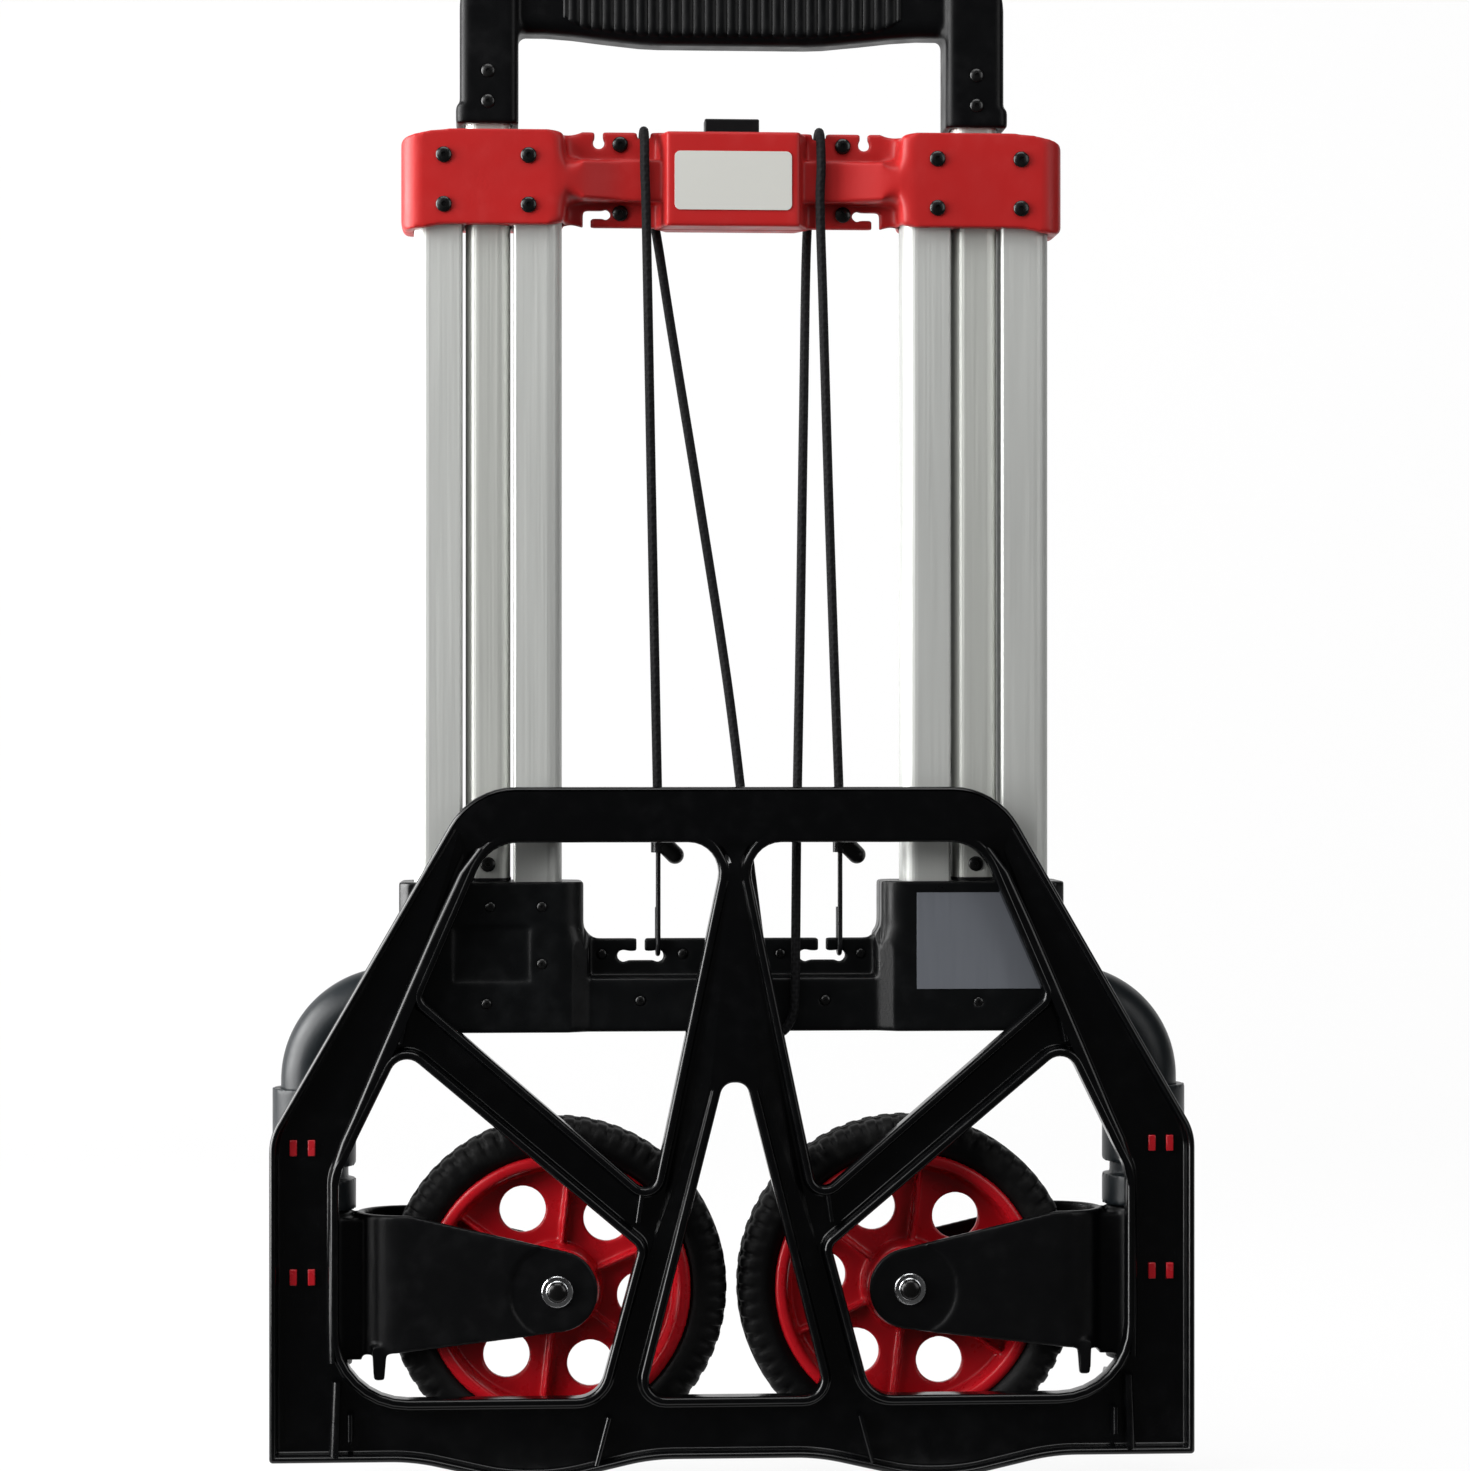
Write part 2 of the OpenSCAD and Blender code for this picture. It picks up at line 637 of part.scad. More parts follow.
function plate_outline() = concat(
    rounded([[-lobe_x - lobe_half, plate_base, lobe_r], [-lobe_x - lobe_flat, 0, lobe_r],
             [-lobe_x + lobe_flat, 0, lobe_r], [-lobe_x + lobe_half, plate_base, lobe_r],
             [lobe_x - lobe_half, plate_base, lobe_r], [lobe_x - lobe_flat, 0, lobe_r],
             [lobe_x + lobe_flat, 0, lobe_r], [lobe_x + lobe_half, plate_base, lobe_r],
             [plate_half, plate_base, 2], [plate_half, knee_z, 30],
             [outer_top_x, plate_top, 40], [-outer_top_x, plate_top, 40],
             [-plate_half, knee_z, 30], [-plate_half, plate_base, 2]]));

// The A shaped middle: the outer and inner lines of its right leg, as x at a height.
side_in = post_x - 14;         // the side members back the posts
leg_lean_out = 0.2337;
leg_lean_in = 0.2527;
side_lean = 0.435;
function a_outer(z) = 7.7 + (apex_z - z) * leg_lean_out;
function a_inner(z) = 9.7 + (arch_z - 14 - z) * leg_lean_in;
function side_inner(z) = side_in - 69.6 + (apex_z - 3 - z) * side_lean;
strut_slope = 0.862;
strut_side_x = side_in - 42;
strut_foot_z = plate_top - 200;
function strut_top(x) = strut_z - (side_in - 61.2 - x) * strut_slope;
function strut_low(x) = strut_z - 18.8 - (side_in - 45.5 - x) * strut_slope;

upper_window = rounded([
    [a_outer(plate_top - bar_h) + 1, plate_top - bar_h, 16],
    [side_inner(plate_top - bar_h), plate_top - bar_h, 24],
    [side_inner(strut_top(strut_side_x)), strut_top(strut_side_x), 5],
    [a_outer(strut_foot_z), strut_top(a_outer(strut_foot_z)), 6]]);
lower_window = rounded([
    [a_outer(strut_foot_z - 30), strut_low(a_outer(strut_foot_z - 30)), 5],
    [side_inner(strut_low(strut_side_x + 7)) - 1, strut_low(strut_side_x + 7), 9],
    [side_in, knee_z - 21, 20],
    [side_in, base_bar_top, 36],
    [a_outer(base_bar_top), base_bar_top, 15]]);
arch_window = rounded([
    [a_inner(arch_z), arch_z, 7], [a_inner(base_bar_top), base_bar_top, 9],
    [-a_inner(base_bar_top), base_bar_top, 9], [-a_inner(arch_z), arch_z, 7]]);

rim = 3.6;
side_field_low = plate_base + rim + 46;
corner_field_high = plate_base + 42;
// Sunk fields of the underside, which leave rims and ribs standing.
side_field = rounded([
    [side_in + rim, side_field_low, 5], [plate_half - rim, side_field_low, 3],
    [plate_half - rim, knee_z - 2, 26],
    [plate_half - (apex_z - knee_z) / tan(slope) - rim / sin(slope), apex_z, 3],
    [side_inner(apex_z) + 8, apex_z, 3],
    [side_inner(strut_top(strut_side_x)) + 8, strut_top(strut_side_x), 4],
    [side_in + rim, knee_z - 15, 24]]);
base_field = [[-side_in + 8, plate_base + rim], [side_in - 8, plate_base + rim],
              [side_in - 8, base_bar_top - rim], [-side_in + 8, base_bar_top - rim]];
corner_field = rounded([
    [side_in - 4, plate_base + rim, 2], [plate_half - rim, plate_base + rim, 2],
    [plate_half - rim, corner_field_high, 4], [side_in + 4, corner_field_high, 6]]);
top_field = rounded([
    [-outer_top_x + 26, plate_top - bar_h + rim, 3], [outer_top_x - 26, plate_top - bar_h + rim, 3],
    [outer_top_x - 16, plate_top - rim, 6], [-outer_top_x + 16, plate_top - rim, 6]]);
apex_field = rounded([
    [-a_outer(apex_z - 17) + rim, apex_z - 13, 3], [a_outer(apex_z - 17) - rim, apex_z - 13, 3],
    [a_outer(arch_z + 12) - rim, arch_z + 12, 4], [-a_outer(arch_z + 12) + rim, arch_z + 12, 4]]);
leg_field = rounded([
    [a_outer(arch_z - 2) - rim, arch_z - 2, 2], [a_outer(leg_end_z) - rim, leg_end_z, 3],
    [a_inner(leg_end_z) + rim, leg_end_z, 3], [a_inner(arch_z - 18) + rim, arch_z - 18, 2]]);
strut_out = side_in - 49;              // ends of a strut's sunk field
strut_in = a_outer(plate_top - 223) + 8;
strut_field = rounded([
    [strut_out, strut_low(strut_out) + 6, 3], [strut_in, strut_low(strut_in) + 6, 3],
    [strut_in, strut_top(strut_in) - 6, 3], [strut_out, strut_top(strut_out) - 6, 3]]);

module field(points) {
    slab(points, -hinge_drop - over, plate_rear - plate_floor);
}
module lug(x0) {
    difference() {
        union() {
            rod_x(x0, x0 + lug_w, 0, hinge_z, lug_r);
            block(x0, x0 + lug_w, plate_rear - over, 0, hinge_z - lug_r, hinge_z + lug_r);
        }
        rod_x(x0 - over, x0 + lug_w + over, 0, hinge_z, pin_r + run);
    }
}
module toe_plate() {
    color("#1a1b1d") {
        difference() {
            slab(plate_outline(), -hinge_drop, plate_rear);
            both_sides() {
                slab(upper_window, -hinge_drop - over, 0);
                slab(lower_window, -hinge_drop - over, 0);
                field(side_field);
                field(corner_field);
                field(leg_field);
                field(strut_field);
                for (z = buffer_z) for (dx = [-prong_x, prong_x])
                    block(buffer_x + dx - prong_half_w, buffer_x + dx + prong_half_w,
                          -hinge_drop - over, 0, z - prong_half_h, z + prong_half_h);
            }
            slab(arch_window, -hinge_drop - over, 0);
            field(base_field);
            field(top_field);
            field(apex_field);
        }
        both_sides() {
            lug(post_x - foot_half_w - lug_gap - lug_w);
            lug(post_x + foot_half_w + lug_gap);
        }
    }
}
// Soft red buffers snapped through slots in the toe plate, opposite the post's collar and sleeve.
buffer_x = post_x + 5;
buffer_z = [collar_low + 11.5, axle_z + 9];
prong_x = 4.75;
prong_half_w = 1.9;
prong_half_h = 4.2;
module plate_buffers() {
    color("#c22630") both_sides() for (z = buffer_z) {
        block(buffer_x - 8, buffer_x + 8, plate_rear, plate_rear + 0.8, z - 6, z + 6);
        for (dx = [-prong_x, prong_x])
            block(buffer_x + dx - prong_half_w, buffer_x + dx + prong_half_w,
                  plate_rear - plate_floor - 2, plate_rear, z - prong_half_h, z + prong_half_h);
    }
}

// ---- Wheel carriers and wheels ----

cheek_in = 21.5;
cheek_out = 26;
cheek_end_r = 21.5;
bend_wall_x = post_x - 48;
end_from = -98;       // a cheek's round end runs between these angles
end_turn = 159;
end_sink = 1.4;       // how deep the flat round its washer is
washer_r = 8.3;
washer_h = 1.2;
carrier_low = sleeve_low + 4.5;
carrier_high = sleeve_high - 1;
hub_half = 20.5;
bush_r = 6.5;

// Side view of a cheek, from the round end at the axle to the bend round the tyre.
module cheek_outline() {
    polygon(concat(
        arc(axle_x, axle_z, cheek_end_r, end_from, end_from - end_turn, 16),
        [[bend_wall_x - 2, carrier_high], [bend_wall_x + 40, carrier_high],
         [bend_wall_x + 40, carrier_low]]));
}
module carrier_wall() {
    intersection() {
        translate([0, cheek_out + over, 0]) rotate([90, 0, 0])
            linear_extrude(2 * (cheek_out + over)) cheek_outline();
        translate([0, 0, carrier_low - over]) linear_extrude(carrier_high - carrier_low + 2 * over)
            difference() {
                union() {
                    translate([axle_x - 60, -cheek_out]) square([bend_wall_x - axle_x + 60, 2 * cheek_out]);
                    translate([bend_wall_x, 0]) circle(r = cheek_out);
                }
                translate([axle_x - 61, -cheek_in]) square([bend_wall_x - axle_x + 61, 2 * cheek_in]);
                translate([bend_wall_x, 0]) circle(r = cheek_in);
            }
    }
}
module carrier(side) {
    color("#2a2b2e") on_side(side) difference() {
        union() {
            carrier_wall();
            rod_z(post_x, 0, sleeve_low, sleeve_high, sleeve_r);
            block(bend_wall_x + cheek_in + 1, post_x - post_r - 2, -14, 14, sleeve_low + 4, sleeve_high - 4);
            slab([[post_x - 39, carrier_low + 8], [post_x - 31, carrier_low + 8],
                  [post_x - 32, carrier_low - 10], [post_x - 37.5, carrier_low - 10]],
                 -cheek_out + 2, -cheek_out + 7);
        }
        rod_z(post_x, 0, sleeve_low - over, sleeve_high + over, post_r + run);
        rod_y(axle_x, -cheek_out - over, cheek_out + over, axle_z, axle_r);
        rod_y(axle_x, -cheek_out - over, -cheek_out + end_sink, axle_z, cheek_end_r + 4);
        rod_y(axle_x, cheek_out - end_sink, cheek_out + over, axle_z, cheek_end_r + 4);
    }
}
washer_y = cheek_out - end_sink;
module axle(side) {
    color("#c9cbce") on_side(side) {
        rod_y(axle_x, -washer_y, cheek_out + 5, axle_z, axle_r);
        rod_y(axle_x, -washer_y - washer_h, -washer_y, axle_z, washer_r);
        rod_y(axle_x, -washer_y - 4, -washer_y - washer_h, axle_z, 5.4);
        rod_y(axle_x, -cheek_out - 5, -washer_y - 4, axle_z, 3);
    }
}
module axle_nut(side) {
    color("#c9cbce") on_side(side) difference() {
        union() {
            rod_y(axle_x, washer_y, washer_y + washer_h, axle_z, washer_r);
            translate([axle_x, cheek_out + 4, axle_z]) rotate([90, 0, 0])
                cylinder(h = cheek_out + 4 - washer_y - washer_h, r = 7, $fn = 6);
        }
        rod_y(axle_x, washer_y - over, cheek_out + 6, axle_z, axle_r);
    }
}

tyre_h = 17;          // how far the tread stands out from the rim
rim_r = wheel_r - tyre_h;
tyre_profile = concat(
    [[rim_r - 4, -8], [rim_r - 2, -13], [rim_r + 2, -16.5], [rim_r + 7, -tyre_w / 2]],
    arc(wheel_r - 8, -tyre_w / 2 + 8, 8, -90, 0, 6), arc(wheel_r - 8, tyre_w / 2 - 8, 8, 0, 90, 6),
    [[rim_r + 7, tyre_w / 2], [rim_r + 2, 16.5], [rim_r - 2, 13], [rim_r - 4, 8]]);
rim_profile = concat(
    [[rim_r - 4, -8], [rim_r - 4, 8], [rim_r - 2, 13], [rim_r - 4, 15], [rim_r - 8.5, 14.8],
     [rim_r - 11, 3], [24, 2], [22, hub_half - 1], [21, hub_half], [bush_r, hub_half]],
    [[bush_r, -hub_half], [21, -hub_half], [22, -hub_half + 1], [24, -2], [rim_r - 11, -3],
     [rim_r - 8.5, -14.8], [rim_r - 4, -15], [rim_r - 2, -13]]);
disc_hole_pcr = rim_r - 28.3;
first_hole = 53.6;

module about_axle() { translate([axle_x, 0, axle_z]) rotate([90, 0, 0]) children(); }
module tyre(side) {
    color("#222325") on_side(side) about_axle() rotate_extrude($fn = 128) polygon(tyre_profile);
}
// Both wheels show the same turn from the front.
module rim(side) {
    turn = side < 0 ? 180 - first_hole : first_hole;
    color("#b8202b") on_side(side) about_axle() difference() {
        union() {
            rotate_extrude($fn = 128) polygon(rim_profile);
            for (i = [0 : 5]) rotate([0, 0, turn + 30 + 60 * i])
                translate([20, -1.2, -9]) cube([rim_r - 28, 2.4, 18]);
        }
        for (i = [0 : 5]) rotate([0, 0, turn + 60 * i])
            translate([disc_hole_pcr, 0, -through]) cylinder(h = 2 * through, r = disc_hole_r);
        translate([0, 0, -through]) cylinder(h = 2 * through, r = bush_r);
    }
}
module wheel_bush(side) {
    color("#d8d8d4") on_side(side) difference() {
        rod_y(axle_x, -hub_half, hub_half, axle_z, bush_r);
        rod_y(axle_x, -hub_half - over, hub_half + over, axle_z, axle_r + run);
    }
}

// ---- Elastic cord and its hooks ----

hook_left_x = -slot_x + slot_reach;
hook_right_x = slot_x + slot_reach;
wire_r = 1.3;
hook_bend = 5.6;
hook_bend_z = slot_z + 6.5;
socket_z = 328;

// Route of the cord, from the left hook over the bracket, down to the loop and back to the right hook.
cord_route = [
    [-39.2, -3.6, 332], [-39.2, -3.6, 342], [-39.6, -4.2, 360], [-41, -6, 425], [-43, -8.7, 520],
    [-45, -11.5, 620], [-46.2, -12.8, 676], [-46.7, -13, 689.5], [-46.7, -12, 699.5], [-46.7, -8, 707],
    [-46.7, -3, 710.3], [-46.7, 2, 711.3], [-46.7, 7, 710.3], [-46.7, 12, 707], [-46, 16, 699.5],
    [-44.6, 17, 689.5], [-42.6, 17, 676], [-39, 16.2, 656], [-32, 12.5, 610], [-17, 5, 515],
    [-2, -3, 415], [8, -10, 330], [14, -15.5, 280], [16.4, -16, 258], [18.6, -16, 242],
    [24.6, -16, 233], [31, -16, 241], [32.6, -16, 258], [33, -15.5, 280], [34, -10, 340],
    [36.5, -1.5, 445], [39, 8, 560], [41.4, 16.2, 656], [42.8, 17, 676], [44.6, 17, 689.5],
    [46, 16, 699.5], [46.7, 12, 707], [46.7, 7, 710.3], [46.7, 2, 711.3], [46.7, -3, 710.3],
    [46.7, -8, 707], [46.7, -12, 699.5], [46.7, -13, 689.5], [46.2, -12.8, 676], [47.8, -11.5, 620],
    [51, -8.7, 520], [54.4, -6, 425], [57, -4.2, 360], [57.6, -3.6, 342], [57.6, -3.6, 332]];
cord_sides = 8;

function direction(i) = unit(cord_route[min(i + 1, len(cord_route) - 1)] - cord_route[max(i - 1, 0)]);
// Ring i lies square to the cord; its first axis is carried along from the ring before.
function carried(i) = i == 0 ? [0, 1, 0] : let (d = direction(i), p = carried(i - 1)) unit(p - (p * d) * d);
ring_axes = [for (i = [0 : len(cord_route) - 1]) carried(i)];
cord_points = [for (i = [0 : len(cord_route) - 1]) let (u = ring_axes[i], w = cross(direction(i), u))
    for (k = [0 : cord_sides - 1]) cord_route[i] + cord_d / 2 * (cos(k * 360 / cord_sides) * u
                                                              + sin(k * 360 / cord_sides) * w)];
cord_faces = concat(
    [[for (k = [0 : cord_sides - 1]) k]],
    [for (i = [0 : len(cord_route) - 2]) for (k = [0 : cord_sides - 1])
        [i * cord_sides + k, (i + 1) * cord_sides + k,
         (i + 1) * cord_sides + (k + 1) % cord_sides, i * cord_sides + (k + 1) % cord_sides]],
    [[for (k = [cord_sides - 1 : -1 : 0]) (len(cord_route) - 1) * cord_sides + k]]);
module elastic_cord() { color("#141416") polyhedron(points = cord_points, faces = cord_faces); }

module hook(x) {
    translate([x, 0, 0]) {
        rod_z(0, -hook_bend, hook_bend_z, socket_z + 2, wire_r);
        rod_z(0, hook_bend, hook_bend_z, hook_bend_z + 19, wire_r);
        translate([0, 0, hook_bend_z]) rotate([-90, 0, 90]) rotate_extrude(angle = 180)
            translate([hook_bend, 0]) circle(r = wire_r, $fn = 24);
        difference() {
            rod_z(0, -hook_bend, socket_z, socket_z + 14, 3.9);
            rod_z(0, -hook_bend, 332, socket_z + 15, cord_d / 2);
        }
    }
}
module cord_hooks() { color("#4a4c50") for (x = [hook_left_x, hook_right_x]) hook(x); }
module cord_end(x) {
    translate([x + 2.5, -hook_bend, socket_z + 5]) rotate([0, 135, 0]) {
        cylinder(h = 9, r = 4.8);
        translate([0, 0, 9]) sphere(r = 4.8);
    }
}
module cord_ends() { color("#141416") for (x = [hook_left_x, hook_right_x]) cord_end(x); }

// ---- The nodes ----

set_back() color("#c9cbcc") rail_outer(-1);  // rail_outer_left
set_back() color("#c9cbcc") rail_outer(1);  // rail_outer_right
set_back() color("#c9cbcc") rail_inner(-1);  // rail_inner_left
set_back() color("#c9cbcc") rail_inner(1);  // rail_inner_right
set_back() upper_bracket_front();
set_back() upper_bracket_rear();
set_back() upper_bracket_screws();
set_back() upper_label();
set_back() lower_bracket_front();
set_back() lower_bracket_rear();
set_back() lower_bracket_screws();
set_back() lower_label();
set_back() shoulder(-1);  // shoulder_left
set_back() shoulder(1);  // shoulder_right
set_back() collar(-1);  // collar_left
set_back() collar(1);  // collar_right
set_back() post(-1);  // post_left
set_back() post(1);  // post_right
set_back() post_ring(-1);  // post_ring_left
set_back() post_ring(1);  // post_ring_right
set_back() foot_block(-1);  // foot_block_left
set_back() foot_block(1);  // foot_block_right
set_back() hinge_pin(-1);  // hinge_pin_left
set_back() hinge_pin(1);  // hinge_pin_right
set_back() handle_grip();
set_back() color("#c4c6c8") handle_tube(-1);  // handle_tube_left
set_back() color("#c4c6c8") handle_tube(1);  // handle_tube_right
set_back() handle_rivets();
set_back() guide_shoes();
set_back() guide_rivets();
set_back() release_button();
set_back() lock_bolt(-1);  // lock_bolt_left
set_back() lock_bolt(1);  // lock_bolt_right
set_back() bolt_spring();
set_back() toe_plate();
set_back() plate_buffers();
set_back() carrier(-1);  // carrier_left
set_back() carrier(1);  // carrier_right
set_back() axle(-1);  // axle_left
set_back() axle(1);  // axle_right
set_back() axle_nut(-1);  // axle_nut_left
set_back() axle_nut(1);  // axle_nut_right
set_back() tyre(-1);  // tyre_left
set_back() tyre(1);  // tyre_right
set_back() rim(-1);  // rim_left
set_back() rim(1);  // rim_right
set_back() wheel_bush(-1);  // wheel_bush_left
set_back() wheel_bush(1);  // wheel_bush_right
elastic_cord();
set_back() cord_hooks();
set_back() cord_ends();
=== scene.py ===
"""Looks of a folding luggage cart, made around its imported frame.

The frame's rails, tubes, posts and fittings keep their shape and get a finish. The toe plate, tyres,
screws, grip and cord are surfaces worked out with numpy, and moulded shells get their rounded edges.
"""

import json
import logging
import math
from dataclasses import dataclass, field
from enum import Enum

import bmesh
import bpy
import numpy as np
from mathutils import Euler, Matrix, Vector
from mathutils.geometry import delaunay_2d_cdt

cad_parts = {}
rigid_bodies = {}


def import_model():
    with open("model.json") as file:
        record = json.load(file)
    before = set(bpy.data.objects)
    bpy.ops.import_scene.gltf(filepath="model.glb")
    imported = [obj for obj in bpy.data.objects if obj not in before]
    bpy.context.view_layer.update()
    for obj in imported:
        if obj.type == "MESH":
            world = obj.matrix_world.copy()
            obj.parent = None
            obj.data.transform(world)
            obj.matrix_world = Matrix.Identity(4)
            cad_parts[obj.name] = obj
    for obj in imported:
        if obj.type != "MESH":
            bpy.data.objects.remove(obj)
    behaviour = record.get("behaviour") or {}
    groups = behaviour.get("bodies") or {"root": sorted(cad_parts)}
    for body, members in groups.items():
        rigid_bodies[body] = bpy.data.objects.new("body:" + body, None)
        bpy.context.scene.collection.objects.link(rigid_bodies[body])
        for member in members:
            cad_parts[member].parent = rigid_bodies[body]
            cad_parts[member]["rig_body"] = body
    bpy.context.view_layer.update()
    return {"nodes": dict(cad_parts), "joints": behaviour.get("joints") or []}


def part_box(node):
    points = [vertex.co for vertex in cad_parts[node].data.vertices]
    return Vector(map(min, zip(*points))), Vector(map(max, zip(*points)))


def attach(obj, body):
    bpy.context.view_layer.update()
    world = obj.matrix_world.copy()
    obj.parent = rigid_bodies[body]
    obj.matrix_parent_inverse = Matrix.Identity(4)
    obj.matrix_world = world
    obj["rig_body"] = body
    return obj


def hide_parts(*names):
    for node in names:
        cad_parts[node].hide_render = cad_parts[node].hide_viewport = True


MM = 0.001
WELD = 1e-5
SIDES = ("left", "right")
FINISHED = "_finish"
LOG = logging.getLogger("luggage_cart")
Array = np.ndarray

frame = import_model()


# ---- Meshes ----


def new_object(name: str, data: bpy.types.ID) -> bpy.types.Object:
    """A new object in the scene that shows a mesh, a lamp or a camera."""
    made = bpy.data.objects.new(name, data)
    bpy.context.scene.collection.objects.link(made)
    return made


def hand_over(piece: bpy.types.Object, finish: "Finish", body: str, node: str = "") -> None:
    """Gives a piece its finish and lets it ride on a body.

    Args:
        piece: the piece.
        finish: its finish, which also names its slot.
        body: the body that it moves with.
        node: the node that it stands for, if any.
    """
    piece.data.materials.clear()
    piece.data.materials.append(finish.material)
    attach(piece, body)
    if node:
        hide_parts(node)


def add_piece(name: str, vertices: Array, faces: list, finish: "Finish", body: str, node: str = "",
              smooth_angle: float = 35.0) -> bpy.types.Object:
    """Makes a piece from vertices and faces, and lets it ride on a body.

    Args:
        name: the piece's name.
        vertices: its points, in metres.
        faces: its faces, as lists of point numbers.
        finish: its finish.
        body: the body that it moves with.
        node: the node that it stands for, if any.
        smooth_angle: edges sharper than this, in degrees, stay sharp.

    Returns:
        The new object.
    """
    mesh = bpy.data.meshes.new(name)
    mesh.from_pydata(np.asarray(vertices, float).tolist(), [], [list(map(int, f)) for f in faces])
    shell = bmesh.new()
    shell.from_mesh(mesh)
    bmesh.ops.remove_doubles(shell, verts=shell.verts, dist=1e-6)
    bmesh.ops.dissolve_degenerate(shell, edges=shell.edges, dist=1e-7)
    bmesh.ops.recalc_face_normals(shell, faces=shell.faces)
    shell.to_mesh(mesh)
    shell.free()
    mesh.shade_smooth()
    mesh.set_sharp_from_angle(angle=math.radians(smooth_angle))
    piece = new_object(name, mesh)
    hand_over(piece, finish, body, node)
    LOG.info("%s: %d faces on %s", name, len(mesh.polygons), body)
    return piece


class Parts:
    """Several closed surfaces, gathered into one piece."""

    def __init__(self) -> None:
        """Starts with nothing."""
        self.points: list[Array] = []
        self.faces: list[list[int]] = []
        self.total = 0

    def add(self, points: Array, faces: list) -> None:
        """Adds one surface, whose faces number its own points from nought."""
        self.points.append(np.asarray(points, float))
        self.faces += [[i + self.total for i in f] for f in faces]
        self.total += len(points)

    def build(self, name: str, finish: "Finish", body: str, node: str = "", unit: float = MM) -> None:
        """Makes the piece. Its points are in the given unit, in metres."""
        add_piece(name, np.concatenate(self.points) * unit, self.faces, finish, body, node)


def grid_faces(rows: int, columns: int, around: bool, start: int = 0) -> Array:
    """Quads of a grid of rows by columns of points.

    Args:
        rows: how many rings of points there are.
        columns: how many points a ring has.
        around: whether the last column joins the first.
        start: the number of the first point.

    Returns:
        One row of four point numbers for each quad.
    """
    i, j = np.meshgrid(np.arange(rows - 1), np.arange(columns if around else columns - 1), indexing="ij")
    k = (j + 1) % columns
    quads = np.stack([i * columns + j, i * columns + k, (i + 1) * columns + k, (i + 1) * columns + j], -1)
    return quads.reshape(-1, 4) + start


def wound(r: Array, y: Array, angle: Array, centre: Array) -> Array:
    """Points about a line along Y: radius r, depth y and angle a give centre + (r cos a, y, r sin a)."""
    return np.stack([r * np.cos(angle), y + 0 * angle, r * np.sin(angle)], -1).reshape(-1, 3) + centre


def unit(vectors: Array) -> Array:
    """Each row brought to a length of 1."""
    return vectors / np.linalg.norm(vectors, axis=1)[:, None]


def soft_ends(share: Array) -> Array:
    """A share from 0 to 1 that starts and ends gently: 3 s^2 - 2 s^3."""
    return share * share * (3 - 2 * share)


def read(items: bpy.types.bpy_prop_collection, name: str, width: int = 1, kind: type = float) -> Array:
    """One attribute of a mesh's points, edges, corners or faces, end to end in one array."""
    flat = np.zeros(len(items) * width, kind)
    items.foreach_get(name, flat)
    return flat


def distance_along(line: Array, power: float = 1.0) -> Array:
    """The distance from a line's start to each of its points, with each step raised to a power."""
    return np.concatenate([[0], np.cumsum(np.linalg.norm(np.diff(line, axis=0), axis=1) ** power)])


def revolved(profile: Array, turns: int, centre: Array) -> tuple[Array, Array]:
    """Turns a profile about a line along Y.

    Args:
        profile: rows of radius and depth, in metres.
        turns: how many steps the circle has.
        centre: the point that the profile turns about.

    Returns:
        The points and their quads.
    """
    angle = np.linspace(0, 2 * math.pi, turns, endpoint=False)
    return wound(profile[:, :1], profile[:, 1:], angle, centre), grid_faces(len(profile), turns, True)


def islands(node: str) -> list[tuple[Array, Array]]:
    """The lowest and highest corners of each separate solid in a node, sorted by place."""
    shell = bmesh.new()
    shell.from_mesh(frame["nodes"][node].data)
    bmesh.ops.remove_doubles(shell, verts=shell.verts, dist=WELD)
    left = set(shell.verts)
    found = []
    while left:
        edge = [left.pop()]
        group = list(edge)
        while edge:
            near = {o for v in edge for e in v.link_edges for o in e.verts if o in left}
            left -= near
            edge = list(near)
            group += edge
        co = np.array([v.co for v in group])
        found.append((co.min(0), co.max(0)))
    shell.free()
    return sorted(found, key=lambda corners: tuple(corners[0]))


def shell_of(node: str, join_flats: bool) -> bpy.types.Object:
    """A welded copy of a node, as an object of its own, with flat faces joined if asked."""
    mesh = frame["nodes"][node].data.copy()
    shell = bmesh.new()
    shell.from_mesh(mesh)
    bmesh.ops.remove_doubles(shell, verts=shell.verts, dist=WELD)
    if join_flats:
        bmesh.ops.dissolve_limit(shell, angle_limit=math.radians(0.5), verts=shell.verts, edges=shell.edges)
    shell.to_mesh(mesh)
    shell.free()
    return new_object(node + "_shell", mesh)


def softened(node: str, finish: "Finish", width: float, angle: float = 28.0) -> None:
    """Stands a copy whose sharp edges are rounded in place of a moulded node.

    Args:
        node: the node to copy.
        finish: its finish.
        width: how far the rounding reaches from an edge, in millimetres.
        angle: edges sharper than this, in degrees, are rounded.
    """
    piece = shell_of(node, True)
    piece.data.name = piece.name
    piece.data.shade_smooth()
    piece.data.set_sharp_from_angle(angle=math.radians(angle))
    bevel = piece.modifiers.new("rounding", "BEVEL")
    bevel.width = width * MM
    bevel.segments = 3
    bevel.limit_method = "ANGLE"
    bevel.angle_limit = math.radians(angle)
    bevel.use_clamp_overlap = False
    bevel.miter_outer = "MITER_ARC"
    bevel.harden_normals = False
    hand_over(piece, finish, body_of(node), node)
    LOG.info("%s: rounded by %.1f mm", node, width)


